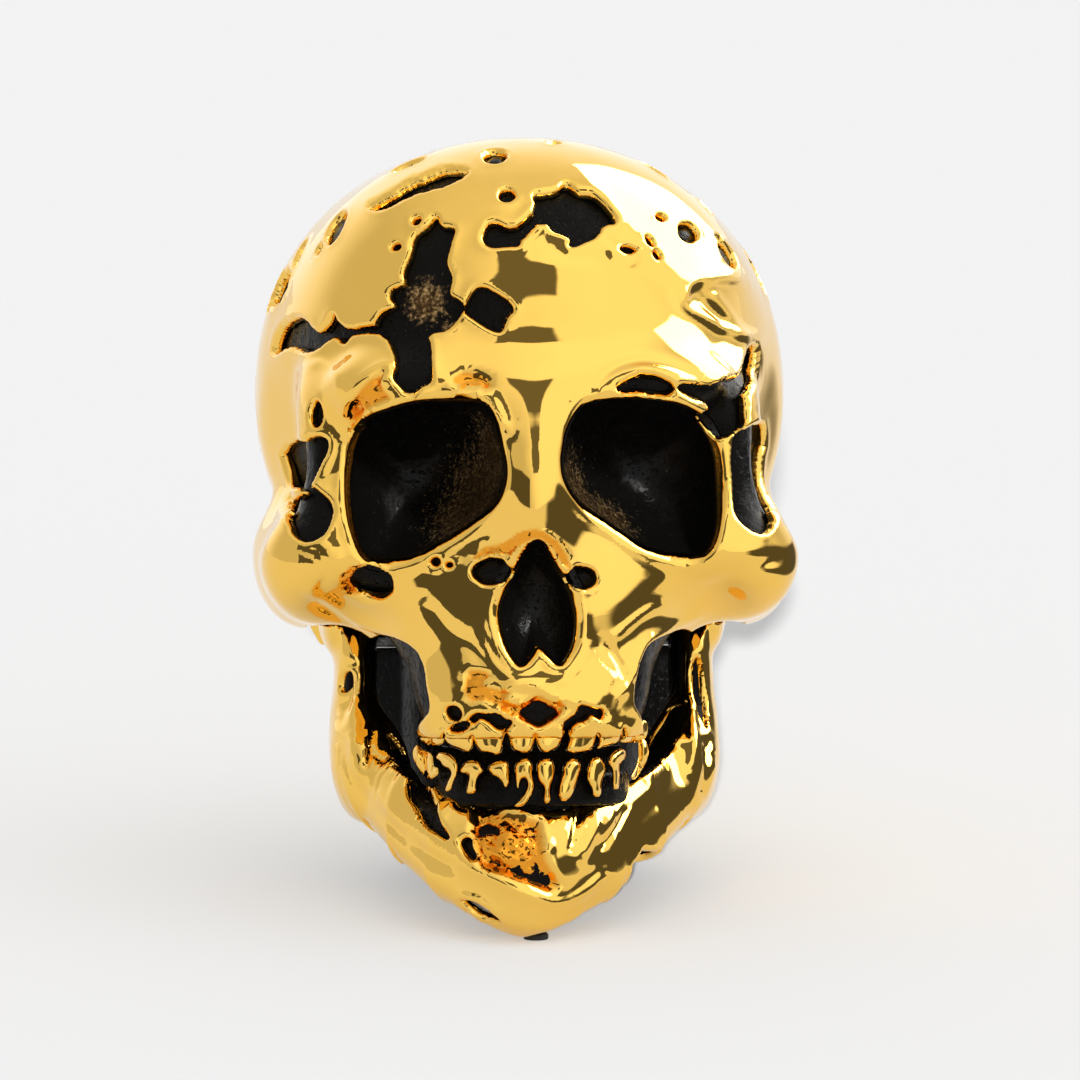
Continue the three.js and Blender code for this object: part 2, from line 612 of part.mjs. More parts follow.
/** Rings of the jaw from the left hinge round the chin to the right one. */
function jawRings(inset) {
  const half = jawSectionShares.map(([x, y, z, thick, tall]) => ({
    middle: fromShares(x, y, z), thick: thick * WIDTH - inset, tall: tall * HEIGHT - inset,
  }));
  half.push({
    middle: new THREE.Vector3(HINGE_X, HINGE_Y, HINGE_Z),
    thick: CONDYLE_HALF_THICKNESS - inset,
    tall: CONDYLE_RADIUS - inset,
  });
  const left = half.slice(1).reverse().map((s) => ({ ...s, middle: s.middle.clone().setX(-s.middle.x) }));
  const sections = [...left, ...half];
  const path = new THREE.CatmullRomCurve3(sections.map((s) => s.middle), false, 'centripetal');
  return sections.map((section, i) => {
    const along = path.getTangent(i / (sections.length - 1));
    if (i === 0 || i === sections.length - 1) along.set(0, 0, i === 0 ? -1 : 1);
    const out = new THREE.Vector3(along.y, -along.x, 0);
    if (Math.abs(section.middle.x) > HINGE_X * 3 / 4) out.set(Math.sign(section.middle.x), 0, 0);
    out.addScaledVector(along, -out.dot(along)).normalize();
    const down = new THREE.Vector3().crossVectors(along, out);
    return jawRing(section, out, down);
  });
}

/** One ring of the jaw, a rounded oblong across its path. */
function jawRing(section, out, down) {
  const ring = [];
  for (let i = 0; i < RING_POINTS; i += 1) {
    const turn = 2 * Math.PI * (i + 1 / 2) / RING_POINTS;
    const across = Math.sign(Math.cos(turn)) * Math.abs(Math.cos(turn)) ** jawSquarenessShare * section.thick;
    const upright = Math.sign(Math.sin(turn)) * Math.abs(Math.sin(turn)) ** jawSquarenessShare * section.tall;
    ring.push(section.middle.clone().addScaledVector(out, across).addScaledVector(down, upright));
  }
  return ring;
}

/** Top of a jaw end: a disc round the hinge that closes the black core. */
function condyle(sign) {
  const [innerX, outerX] = [HINGE_X - CONDYLE_HALF_THICKNESS, HINGE_X + CONDYLE_HALF_THICKNESS];
  return forSide(crossRod(CONDYLE_RADIUS, innerX, outerX), sign);
}

/** Gold jaw skin over a black jaw core that carries the hinge bushes. */
function addJaw() {
  const toothCutProfile = [
    [-DEPTH, LOWER_TOOTH_BOTTOM_Z], [ARCH_CENTRE_Y - TOOTH_DEPTH, LOWER_TOOTH_BOTTOM_Z],
    [PALATE_BACK_Y, JAW_SHOULDER_Z], [PALATE_BACK_Y, HEIGHT], [-DEPTH, HEIGHT],
  ];
  const toothCut = sidePrism(toothCutProfile, -WIDTH, WIDTH);
  const skinTop = sidePrism([
    [-DEPTH, JAW_SKIN_TOP_Z], [DEPTH, JAW_SKIN_TOP_Z], [DEPTH, HEIGHT], [-DEPTH, HEIGHT],
  ], -WIDTH, WIDTH);
  const floorCut = belowFloorPlane(PAD_THICKNESS + FIT_GAP);
  const [backShare, shares] = breakShares.jaw_side;
  const corners = shares.map(([x, z]) => new THREE.Vector3(x * WIDTH, 0, z * HEIGHT));
  const sideBreak = frontPrism(corners, -DEPTH, backShare * DEPTH);
  let skin = loft(jawRings(0)).subtract(loft(jawRings(GOLD_WALL)));
  for (const cut of [toothCut, skinTop, floorCut, sideBreak]) skin = skin.subtract(cut);
  place('jaw_shell', skin, finishes.gold);
  let core = loft(jawRings(GOLD_WALL + FIT_GAP)).subtract(toothCut);
  for (const sign of Object.values(sides)) {
    core = core.add(condyle(sign));
    core = core.subtract(forSide(crossRod(PIN_RADIUS + 2 * FIT_GAP + BUSH_WALL, 0, WIDTH), sign));
  }
  place('jaw_core', core.subtract(floorCut), finishes.black);
}

/** Hinge pins with heads, and the bushes that turn on them. */
function addHinges() {
  const innerX = HINGE_X - CONDYLE_HALF_THICKNESS;
  const outerX = HINGE_X + CONDYLE_HALF_THICKNESS;
  const headX = outerX + FIT_GAP;
  for (const [side, sign] of Object.entries(sides)) {
    const shank = crossRod(PIN_RADIUS, pinRootX, headX + PIN_HEAD_THICKNESS);
    const head = crossRod(PIN_HEAD_RADIUS, headX, headX + PIN_HEAD_THICKNESS);
    place(`hinge_pin_${side}`, forSide(shank.add(head), sign), finishes.steel);
    const bushRadius = PIN_RADIUS + FIT_GAP + BUSH_WALL;
    const bush = crossRod(bushRadius, innerX, outerX).subtract(crossRod(PIN_RADIUS + FIT_GAP, 0, WIDTH));
    place(`hinge_bush_${side}`, forSide(bush, sign), finishes.nylon);
  }
}

/** Hollow black neck, its screws into the core, and the cap that closes it. */
function addNeck() {
  const topZ = UNDERSIDE_Z - FIT_GAP;
  const footLift = PAD_THICKNESS + CAP_THICKNESS + 2 * FIT_GAP;
  const waistHalfDepth = (NECK_TOP_HALF_DEPTH + NECK_FOOT_HALF_DEPTH) / 2;
  const neckRings = (inset, top) => [
    oval(NECK_FOOT_CENTRE_Y, NECK_FOOT_HALF_WIDTH - inset, NECK_FOOT_HALF_DEPTH - inset, 0, footLift - inset),
    oval(NECK_CENTRE_Y, neckHalfWidth - inset, waistHalfDepth - inset, NECK_WAIST_Z),
    oval(NECK_CENTRE_Y, neckHalfWidth - inset, NECK_TOP_HALF_DEPTH - inset, top),
  ];
  let neck = loft(neckRings(0, topZ)).subtract(loft(neckRings(NECK_WALL, UNDERSIDE_Z - NECK_TOP_WALL)));
  const headZ = UNDERSIDE_Z - NECK_TOP_WALL - FIT_GAP;
  screwPlaces.forEach(([x, y], i) => {
    neck = neck.subtract(uprightRod(x, y, SCREW_RADIUS + FIT_GAP, headZ - DRIVER_REACH, HEIGHT));
    const head = uprightRod(x, y, SCREW_HEAD_RADIUS, headZ - SCREW_HEAD_THICKNESS, headZ);
    const shank = uprightRod(x, y, SCREW_RADIUS, headZ - SCREW_HEAD_THICKNESS, screwTipZ);
    place(`neck_screw_${i + 1}`, head.add(shank), finishes.steel);
  });
  place('neck', neck, finishes.black);
  const disc = (bottom, top) => loft([
    oval(NECK_FOOT_CENTRE_Y, NECK_FOOT_HALF_WIDTH, NECK_FOOT_HALF_DEPTH, 0, bottom),
    oval(NECK_FOOT_CENTRE_Y, NECK_FOOT_HALF_WIDTH, NECK_FOOT_HALF_DEPTH, 0, top),
  ]);
  place('base_cap', disc(PAD_THICKNESS + FIT_GAP, PAD_THICKNESS + FIT_GAP + CAP_THICKNESS), finishes.black);
  place('base_pad', disc(0, PAD_THICKNESS), finishes.felt);
  place('chin_pad', loft([
    oval(CHIN_PAD_Y, CHIN_PAD_HALF_WIDTH, CHIN_PAD_HALF_DEPTH, 0, 0),
    oval(CHIN_PAD_Y, CHIN_PAD_HALF_WIDTH, CHIN_PAD_HALF_DEPTH, 0, PAD_THICKNESS),
  ]), finishes.felt);
}

const upperEdgeZ = UPPER_TOOTH_TOP_Z - FIT_GAP;
const lowerEdgeZ = LOWER_TOOTH_BOTTOM_Z + FIT_GAP;
addGoldSkin();
addCore();
addCups();
addGum('upper_gum', UPPER_ARCH, upperEdgeZ - UPPER_GUM_HEIGHT, UPPER_GUM_HEIGHT);
addTeeth('upper_tooth', UPPER_TOOTH_COUNT, UPPER_ARCH, upperEdgeZ, UPPER_TOOTH_HEIGHT, true);
addJaw();
addGum('lower_gum', LOWER_ARCH, lowerEdgeZ, LOWER_GUM_HEIGHT);
addTeeth('lower_tooth', LOWER_TOOTH_COUNT, LOWER_ARCH, lowerEdgeZ, LOWER_TOOTH_HEIGHT, false);
addHinges();
addNeck();

// The skull leans back and stands on z = 0 with its box centred on the origin.
model.rotation.x = -THREE.MathUtils.degToRad(TILT_DEG);
const group = new THREE.Group();
group.add(model);
group.updateMatrixWorld(true);
const box = new THREE.Box3().setFromObject(model, true);
const middle = box.getCenter(new THREE.Vector3());
model.position.set(-middle.x, -middle.y, -box.min.z);
group.updateMatrixWorld(true);

export default group;
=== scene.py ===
"""Skull ornament: a ragged, mirror-polished gold skin over a glossy black core.

Pieces are modelled upright in millimetres, x to the skull's side, y to its back and z up
from the chin, and are then leant back and set down in the frame, in metres.
"""

import json
import logging
import math
from dataclasses import dataclass
from enum import Enum
from functools import cache

import bmesh
import bpy
import numpy as np
from mathutils import Matrix, Vector

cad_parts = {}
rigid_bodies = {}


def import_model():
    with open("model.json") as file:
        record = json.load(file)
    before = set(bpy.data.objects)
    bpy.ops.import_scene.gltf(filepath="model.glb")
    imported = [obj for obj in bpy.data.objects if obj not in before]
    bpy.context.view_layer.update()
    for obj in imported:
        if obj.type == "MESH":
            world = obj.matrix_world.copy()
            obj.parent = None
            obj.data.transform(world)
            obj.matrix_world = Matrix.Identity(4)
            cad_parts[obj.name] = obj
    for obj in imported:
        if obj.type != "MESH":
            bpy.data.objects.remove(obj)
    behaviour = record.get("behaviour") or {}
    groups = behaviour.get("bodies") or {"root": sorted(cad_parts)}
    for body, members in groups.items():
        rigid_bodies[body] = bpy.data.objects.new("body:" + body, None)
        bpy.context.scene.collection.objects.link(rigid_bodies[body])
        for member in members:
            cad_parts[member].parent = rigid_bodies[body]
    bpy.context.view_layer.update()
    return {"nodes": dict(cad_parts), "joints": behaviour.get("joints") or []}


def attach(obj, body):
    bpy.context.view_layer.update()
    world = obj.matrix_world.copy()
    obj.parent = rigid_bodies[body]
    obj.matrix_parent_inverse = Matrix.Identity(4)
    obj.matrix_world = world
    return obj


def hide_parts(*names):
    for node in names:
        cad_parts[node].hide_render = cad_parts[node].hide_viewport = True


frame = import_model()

Place = tuple[float, float, float]
Corners = tuple[tuple[float, float], ...]
Patches = tuple[tuple[Place, float], ...]

LOG = logging.getLogger("skull_ornament")
MM = 0.001
GOLD_WALL = 1.8
CORE_LEVEL = -2.1
SEAM_Y = 16.0
SEAM_HALF_GAP = 0.08
UNDERSIDE_Z = 54.0
PALATE_BACK_Y = -16.0
UPPER_EDGE_Z = 36.9
CORE_EDGE_Z = 39.3
JAW_TOP_Z = 58.6
FAR = 400.0
FARTHEST_GAP = 6.0
TINY = 1e-6


class Body(Enum):
    """The two bodies that pieces ride on."""

    SKULL = "skull"
    JAW = "jaw"


class Keep(Enum):
    """Which side of a cutting plane stays."""

    BELOW = "below"
    ABOVE = "above"


@dataclass(frozen=True)
class Stance:
    """How the upright skull is leant back and set down, found from the jaw hinge."""

    tilt_deg: float = 10.0
    hinge_y: float = 6.006
    hinge_z: float = 61.995

    def matrix(self) -> Matrix:
        """Returns the matrix from upright millimetres to the frame's metres."""
        lean = Matrix.Rotation(-math.radians(self.tilt_deg), 4, "X")
        hinge = next(joint for joint in frame["joints"] if joint["name"] == "jaw_hinge")
        placed = lean @ Vector((0, self.hinge_y, self.hinge_z)) * MM
        shift = Vector(hinge["pos_m"]) - placed
        return Matrix.Translation(shift) @ lean @ Matrix.Scale(MM, 4)


STANCE = Stance()


@dataclass(frozen=True)
class PhotoView:
    """How the photograph sees the skull, in its own pixels and upright millimetres."""

    pixels_per_mm: float = 5.3
    axis_px: float = 522.0
    chin_px: float = 932.0
    azimuth_deg: float = -2.8
    distance: float = 2500.0
    image_px: float = 1080.0
    sensor_mm: float = 36.0
    clip_m: tuple[float, float] = (0.1, 50.0)

    def axes(self) -> tuple[np.ndarray, np.ndarray]:
        """Returns the directions to the picture's right and away from the camera."""
        turn = math.radians(self.azimuth_deg)
        right = np.array([math.cos(turn), math.sin(turn), 0.0])
        away = np.array([-math.sin(turn), math.cos(turn), 0.0])
        return right, away

    def middle(self) -> tuple[float, float]:
        """Returns the place of the picture's middle, in millimetres right and up."""
        half = self.image_px / 2
        return (half - self.axis_px) / self.pixels_per_mm, (self.chin_px - half) / self.pixels_per_mm

    def pixels(self, points: np.ndarray) -> np.ndarray:
        """Projects points into the photograph.

        Args:
            points: Places in upright millimetres, one a row.

        Returns:
            Column and row of each point, in pixels.
        """
        right, away = self.axes()
        across, up = self.middle()
        scale = self.pixels_per_mm * self.distance / (self.distance + points @ away)
        half = self.image_px / 2
        return np.stack([half + (points @ right - across) * scale,
                         half - (points[:, 2] - up) * scale], axis=1)

    def at_depth(self, pixels: np.ndarray, depth: np.ndarray) -> np.ndarray:
        """Finds the places that pixels show at given depths.

        Args:
            pixels: Columns and rows, one pixel a row of the array.
            depth: Millimetres away from the middle plane, for each pixel.

        Returns:
            Places in upright millimetres.
        """
        right, away = self.axes()
        across, up = self.middle()
        half = self.image_px / 2
        scale = self.pixels_per_mm * self.distance / (self.distance + depth)
        side = across + (pixels[:, 0] - half) / scale
        height = up - (pixels[:, 1] - half) / scale
        flat = side[:, None] * right + depth[:, None] * away
        flat[:, 2] = height
        return flat

    def add_camera(self) -> None:
        """Makes the camera that frames the ornament as the photograph does."""
        right, away = self.axes()
        across, up = self.middle()
        place = Vector(right * across - away * self.distance + np.array([0, 0, up]))
        data = bpy.data.cameras.new("camera")
        data.sensor_width = self.sensor_mm
        data.lens = self.sensor_mm * self.distance * self.pixels_per_mm / self.image_px
        data.clip_start, data.clip_end = self.clip_m
        camera = bpy.data.objects.new("camera", data)
        bpy.context.scene.collection.objects.link(camera)
        matrix = STANCE.matrix()
        looking = (matrix.to_3x3() @ Vector(away)).normalized()
        camera.rotation_euler = looking.to_track_quat("-Z", "Y").to_euler()
        camera.location = matrix @ place
        bpy.context.scene.camera = camera


VIEW = PhotoView()


@dataclass(frozen=True)
class Mass:
    """One rounded mass of the clay that the skull's form is modelled from."""

    name: str
    centre: Place
    radii: Place
    power: float
    blend: float
    paired: bool = False

    def seeds(self) -> list[tuple[Place, Place]]:
        """Returns the centre and the radii of each ball that the skin starts from."""
        return [(self.centre, self.radii)]

    def value(self, points: np.ndarray, folded: np.ndarray) -> np.ndarray:
        """Gives a distance-like value at each point, below zero inside the mass."""
        arm = (folded if self.paired else points) - np.array(self.centre)
        ratio = np.abs(arm / np.array(self.radii))
        scale = (ratio ** self.power).sum(axis=1) ** (1 / self.power)
        return np.sqrt((arm * arm).sum(axis=1)) * (1 - 1 / np.maximum(scale, TINY))


@dataclass(frozen=True)
class Sweep:
    """A tapered bar of the clay, run through stations with a flat and an upright radius."""

    name: str
    stations: tuple[tuple[Place, float, float], ...]
    blend: float
    paired: bool = True

    def seeds(self) -> list[tuple[Place, Place]]:
        """Returns the centre and the radii of each ball that the skin starts from."""
        return [(place, (flat, flat, upright)) for place, flat, upright in self.stations]

    def value(self, points: np.ndarray, folded: np.ndarray) -> np.ndarray:
        """Gives a distance-like value at each point, below zero inside the bar."""
        found = np.full(len(points), np.inf)
        pairs = zip(self.stations, self.stations[1:])
        for (start, flat, upright), (end, next_flat, next_upright) in pairs:
            along = np.array(end) - np.array(start)
            arm = (folded if self.paired else points) - np.array(start)
            share = np.clip(arm @ along / (along @ along), 0, 1)
            half = flat + (next_flat - flat) * share
            gap = arm - share[:, None] * along
            gap[:, 2] *= half / (upright + (next_upright - upright) * share)
            found = np.minimum(found, np.linalg.norm(gap, axis=1) - half)
        return found


SKULL_MASSES = (
    Mass("braincase", (0.3, 12, 102), (50.0, 51.85, 47.85), 2.14, 8),
    Mass("forehead", (0, -19, 116), (38, 29.5, 31), 2.1, 14),
    Mass("back_of_head", (0, 36, 84), (36, 28, 30), 2, 14),
    Mass("skull_base", (0, 14, 66), (36, 36, 19), 2.2, 12),
    Mass("mastoid", (31.2, 15, 63), (8, 11, 12), 2, 9, True),
    Mass("mid_face", (0, -23, 80), (38, 25, 33), 2.3, 10),
    Mass("brow", (19, -40, 102.5), (18, 10.5, 7.5), 2, 9, True),
    Mass("brow_middle", (0, -42, 99), (12, 10.5, 9), 2, 9),
    Mass("nose_bridge", (0, -45, 82), (7, 11, 15), 2, 9),
    Mass("outer_pillar", (37.5, -27, 88), (7.5, 12, 18), 2, 9, True),
    Mass("cheekbone", (36.5, -29, 70.5), (13.2, 14.5, 12.5), 2, 8, True),
    Mass("cheek_arch", (40.4, -6, 71), (10.1, 27, 13.3), 2, 6, True),
    Mass("upper_jaw", (0, -32, 56), (25, 18, 21), 2.3, 9),
    Mass("tooth_ridge", (0, -33, 42), (21.5, 18, 11.5), 2.4, 8),
)
SKULL_HOLLOWS = (
    Mass("temple", (53, -21, 90.5), (9.3, 22, 13), 2, 9, True),
    Mass("under_cheek", (36, -42, 54), (9, 14, 10), 2, 8, True),
)
JAW_MASSES = (
    Mass("ramus", (31.5, 1, 45), (3.8, 11, 19), 2.4, 4, True),
    Mass("condyle", (33, 6, 61), (4.6, 5.4, 5.6), 2, 5, True),
    Mass("flare", (35.2, 1, 58.5), (2.4, 8.5, 5), 2, 4, True),
    Mass("angle", (30.4, -4, 33), (5.0, 12.5, 10), 2, 7, True),
    Sweep("body", (((27.2, -6, 30.2), 5.6, 8.6), ((26.0, -13, 27.8), 5.6, 8.8),
                   ((20.4, -25, 22.6), 5.9, 9.3), ((12.4, -35.5, 16.6), 6.8, 10.3),
                   ((6.2, -39.8, 14.0), 7.2, 11.0), ((0, -41.5, 13.0), 7.4, 11.6)), 6),
    Mass("chin", (0, -42.0, 12.4), (8.0, 7.2, 11.2), 2, 4),
)


class Clay:
    """A smooth form blended from rounded masses, less some hollows."""

    step = 0.05
    fold_softness = 3.0
    fold_shift = 0.6
    swing_start_y = -12.0
    least_speed = 0.05
    ray_steps = 60
    ray_stride = 0.7
    deepest = 40.0

    def __init__(self, masses: tuple[Mass | Sweep, ...], hollows: tuple[Mass, ...] = (),
                 swing: float = 0.0) -> None:
        """Keeps the masses and hollows of the form.

        Args:
            masses: What the form is blended from.
            hollows: What is taken out of it.
            swing: How far the front swings to a side, for each millimetre forwards.
        """
        self.masses = masses
        self.hollows = hollows
        self.swing = swing

    def value(self, points: np.ndarray) -> np.ndarray:
        """Gives the clay value at each point: below zero inside, zero on the skin."""
        points = points.copy()
        points[:, 0] -= self.swing * np.maximum(self.swing_start_y - points[:, 1], 0)
        folded = points.copy()
        folded[:, 0] = np.sqrt(points[:, 0] ** 2 + self.fold_softness ** 2) - self.fold_shift
        total = None
        for mass in self.masses:
            own = mass.value(points, folded)
            total = own if total is None else self.smooth_min(total, own, mass.blend)
        for hollow in self.hollows:
            total = -self.smooth_min(-total, hollow.value(points, folded), hollow.blend)
        return total

    @staticmethod
    def smooth_min(first: np.ndarray, second: np.ndarray, blend: float) -> np.ndarray:
        """Gives the smaller of two values with a rounded corner between them."""
        overlap = np.maximum(blend - np.abs(first - second), 0) / blend
        return np.minimum(first, second) - overlap * overlap * blend / 4

    def gradient(self, points: np.ndarray) -> np.ndarray:
        """Gives the direction in which the clay value grows, and how fast."""
        columns = []
        for axis in range(3):
            offset = np.zeros(3)
            offset[axis] = self.step
            change = self.value(points + offset) - self.value(points - offset)
            columns.append(change / (2 * self.step))
        return np.stack(columns, axis=1)

    def normals(self, points: np.ndarray) -> np.ndarray:
        """Gives the outward unit normal at each point."""
        slope = self.gradient(points)
        return slope / np.maximum(np.linalg.norm(slope, axis=1), 1e-9)[:, None]

    def settle(self, points: np.ndarray, level: float = 0.0, rounds: int = 3) -> np.ndarray:
        """Moves points onto the skin of the clay at a level.

        Args:
            points: Places in upright millimetres.
            level: The clay value to reach, below zero under the skin.
            rounds: Newton steps to take.

        Returns:
            The moved points.
        """
        for _ in range(rounds):
            slope = self.gradient(points)
            speed = np.maximum((slope * slope).sum(axis=1), self.least_speed)
            points = points - slope * ((self.value(points) - level) / speed)[:, None]
        return points

    def first_hit(self, pixels: np.ndarray, level: float, start: float = -80.0) -> np.ndarray:
        """Finds where the photograph's rays through pixels first meet the clay."""
        depth = np.full(len(pixels), start)
        for _ in range(self.ray_steps):
            gap = self.value(VIEW.at_depth(pixels, depth)) - level
            depth = np.minimum(depth + self.ray_stride * gap, self.deepest)
        return VIEW.at_depth(pixels, depth)


SKULL = Clay(SKULL_MASSES, SKULL_HOLLOWS)
JAW = Clay(JAW_MASSES, swing=-0.07)


def ragged(points: np.ndarray, size: float, wavelength: float) -> np.ndarray:
    """Gives a small irregular wave that is the same on every run.

    Args:
        points: Places, in the units of the wavelength.
        size: Largest height of the wave.
        wavelength: Distance between its main crests.

    Returns:
        The wave's height at each point.
    """
    turn = points * (2 * math.pi / wavelength)
    x, y = turn[:, 0], turn[:, 1]
    z = turn[:, 2] if turn.shape[1] > 2 else turn[:, 0] + turn[:, 1]
    first = np.sin(x + 1.3 * np.sin(0.7 * y + 0.4)) * np.sin(0.9 * y + 1.1 * np.sin(0.6 * z))
    second = np.sin(2.3 * x + 1.7 * z + 0.8) * np.sin(1.9 * y - 2.1 * z + 2.2)
    return size * (0.62 * first + 0.38 * second)


def smooth_step(share: np.ndarray) -> np.ndarray:
    """Eases a share from 0 to 1."""
    return share * share * (3 - 2 * share)


def smooth_outline(corners: Corners, steps: int, closed: bool = True) -> np.ndarray:
    """Runs a smooth curve through corners.

    Args:
        corners: The corners, in pixels.
        steps: Points on the curve between one corner and the next.
        closed: Whether the curve comes back to its start.

    Returns:
        Points of the curve, one a row.
    """
    places = np.array(corners, float)
    count = len(places)
    found = []
    for index in range(count if closed else count - 1):
        numbers = np.arange(index - 1, index + 3)
        numbers = numbers % count if closed else np.clip(numbers, 0, count - 1)
        before, here, after, beyond = places[numbers]
        for share in np.arange(steps) / steps:
            found.append(0.5 * (2 * here + (after - before) * share
                                + (2 * before - 5 * here + 4 * after - beyond) * share ** 2
                                + (3 * here - before - 3 * after + beyond) * share ** 3))
    if not closed:
        found.append(places[-1])
    return np.array(found)


def segment_distance(points: np.ndarray, line: np.ndarray, closed: bool) -> np.ndarray:
    """Gives each point's distance to the nearest stretch of a line."""
    starts = line if closed else line[:-1]
    ends = np.roll(line, -1, axis=0) if closed else line[1:]
    nearest = np.full(len(points), np.inf)
    for start, end in zip(starts, ends):
        along = end - start
        length = max(along @ along, 1e-12)
        share = np.clip((points - start) @ along / length, 0, 1)
        nearest = np.minimum(nearest, np.linalg.norm(points - start - share[:, None] * along, axis=1))
    return nearest


def beside_line(points: np.ndarray, line: np.ndarray, spare: float = 0.0) -> np.ndarray:
    """Tells which points lie in the box around a line, grown by spare."""
    return ((points > line.min(axis=0) - spare) & (points < line.max(axis=0) + spare)).all(axis=1)


def inside_outline(points: np.ndarray, line: np.ndarray) -> np.ndarray:
    """Tells which points lie inside a closed line."""
    crossings = np.zeros(len(points), bool)
    for start, end in zip(line, np.roll(line, -1, axis=0)):
        spans = (start[1] > points[:, 1]) != (end[1] > points[:, 1])
        rise = end[1] - start[1] if end[1] != start[1] else 1e-12
        side = start[0] + (points[:, 1] - start[1]) * (end[0] - start[0]) / rise
        crossings ^= spans & (points[:, 0] < side)
    return crossings


@dataclass(frozen=True)
class Rim:
    """How the gold ends at an opening: its rounding, its bead, its ripples and its roll."""

    rounding: float = 0.95
    bead: float = 0.13
    bead_width: float = 0.8
    rolls_in: bool = False
    ripple: float = 0.02
    ripple_length: float = 1.7
    ripple_reach: float = 1.5
    fine_reach: float = 2.3

    def sink(self, gap: np.ndarray) -> np.ndarray:
        """Gives how far the rounded edge drops at a distance from the opening."""
        near = np.clip(gap, 0, self.rounding)
        return self.rounding - np.sqrt(np.maximum(self.rounding ** 2 - (self.rounding - near) ** 2, 0))

    def swell(self, gap: np.ndarray) -> np.ndarray:
        """Gives the height of the bead and of the ripples around it."""
        bead = self.bead * np.exp(-((gap - self.rounding) / self.bead_width) ** 2)
        wave = np.cos((gap - self.rounding) * 2 * math.pi / self.ripple_length)
        return bead + self.ripple * wave * np.exp(-(gap / self.ripple_reach) ** 2)


BREAK_RIM = Rim()
SOCKET_RIM = Rim(rounding=2.2, bead=0.36, bead_width=1.3, rolls_in=True, ripple=0.1,
                 ripple_length=3.0, ripple_reach=2.7, fine_reach=4.6)
NOSE_RIM = Rim(rounding=1.7, bead=0.34, bead_width=1.1, rolls_in=True, ripple=0.1,
               ripple_length=2.6, ripple_reach=2.7, fine_reach=4.6)
PLAIN_RIM = Rim(rounding=0.7, bead=0.0, bead_width=0.5, ripple=0.0)
TRIM_RIM = Rim(rounding=1.0, bead=0.05, ripple=0.0)
NOTCH_RIM = Rim(rounding=0.7, bead=0.1, bead_width=0.6)


@dataclass(frozen=True)
class Window:
    """An opening in the gold with an outline read from the photograph."""

    name: str
    corners: Corners
    reach: float = 0.0
    rim: Rim = BREAK_RIM
    ragged_mm: float = 0.14
    smooth_steps: int = 6
    side_round: float = 9.0
    ragged_length: float = 4.5

    def distance(self, points: np.ndarray, pixels: np.ndarray) -> np.ndarray:
        """Gives each point's distance from the opening, below zero inside it."""
        found = np.full(len(points), FARTHEST_GAP)
        line = smooth_outline(self.corners, self.smooth_steps)
        near = beside_line(pixels, line, FARTHEST_GAP * VIEW.pixels_per_mm)
        near &= points[:, 1] < self.reach + FARTHEST_GAP
        if not near.any():
            return found
        flat = pixels[near]
        gap = segment_distance(flat, line, True) / VIEW.pixels_per_mm
        gap = np.where(inside_outline(flat, line), -gap, gap)
        gap += ragged(points[near], self.ragged_mm, self.ragged_length)
        behind = points[near][:, 1] - self.reach
        overlap = np.maximum(self.side_round - np.abs(gap - behind), 0) / self.side_round
        gap = np.maximum(gap, behind) + overlap * overlap * self.side_round / 4
        found[near] = np.minimum(gap, FARTHEST_GAP)
        return found


@dataclass(frozen=True)
class Hole:
    """A ragged round break in the gold where the photograph doesn't reach."""

    name: str
    centre: Place
    radii: Place
    rim: Rim = BREAK_RIM
    ragged_mm: float = 1.5
    ragged_length: float = 15.0
    fine_length: float = 6.3

    def distance(self, points: np.ndarray, pixels: np.ndarray) -> np.ndarray:
        """Gives each point's distance from the break, below zero inside it."""
        arm = points - np.array(self.centre)
        scale = np.linalg.norm(arm / np.array(self.radii), axis=1)
        gap = np.linalg.norm(arm, axis=1) * (1 - 1 / np.maximum(scale, TINY))
        waves = (ragged(points, self.ragged_mm, self.ragged_length)
                 + ragged(points[:, ::-1], self.ragged_mm / 3, self.fine_length))
        return np.minimum(gap + waves, FARTHEST_GAP)


@dataclass(frozen=True)
class Spot:
    """A small rounded opening, laid on the gold where the photograph shows it."""

    name: str
    column: float
    row: float
    half_length: float
    half_width: float
    slant_deg: float = 0.0
    clay: Clay = SKULL
    rim: Rim = BREAK_RIM
    most_stretch: float = 3.0
    depth: float = 7.0
    ragged_mm: float = 0.12
    ragged_length: float = 3.7
    least_scale = 0.05

    @cache
    def axes(self) -> tuple[np.ndarray, np.ndarray, np.ndarray]:
        """Returns the middle, the normal there and the two half axes, one a row."""
        start = self.clay.first_hit(np.array([[self.column, self.row]]), 0.0)
        middle = self.clay.settle(start, rounds=4)
        normal = self.clay.normals(middle)[0]
        right, away = VIEW.axes()
        turn = math.radians(self.slant_deg)
        upward = np.array([0.0, 0.0, 1.0])
        halves = []
        for flat, half in ((right * math.cos(turn) + upward * math.sin(turn), self.half_length),
                           (upward * math.cos(turn) - right * math.sin(turn), self.half_width)):
            slope = -(flat @ normal) / min(away @ normal, -self.least_scale)
            axis = flat + away * slope
            stretch = np.linalg.norm(axis)
            halves.append(axis / stretch * min(stretch, self.most_stretch) * half / VIEW.pixels_per_mm)
        return middle[0], normal, np.array(halves)

    def distance(self, points: np.ndarray, pixels: np.ndarray) -> np.ndarray:
        """Gives each point's distance from the opening, below zero inside it."""
        middle, normal, halves = self.axes()
        arm = points - middle
        above = arm @ normal
        shares = arm @ np.linalg.pinv(halves)
        scale = np.linalg.norm(shares, axis=1)
        flat = np.linalg.norm(arm - above[:, None] * normal, axis=1)
        gap = flat * (1 - 1 / np.maximum(scale, self.least_scale))
        gap += ragged(points, self.ragged_mm, self.ragged_length)
        return np.minimum(np.maximum(gap, np.abs(above) - self.depth), FARTHEST_GAP)


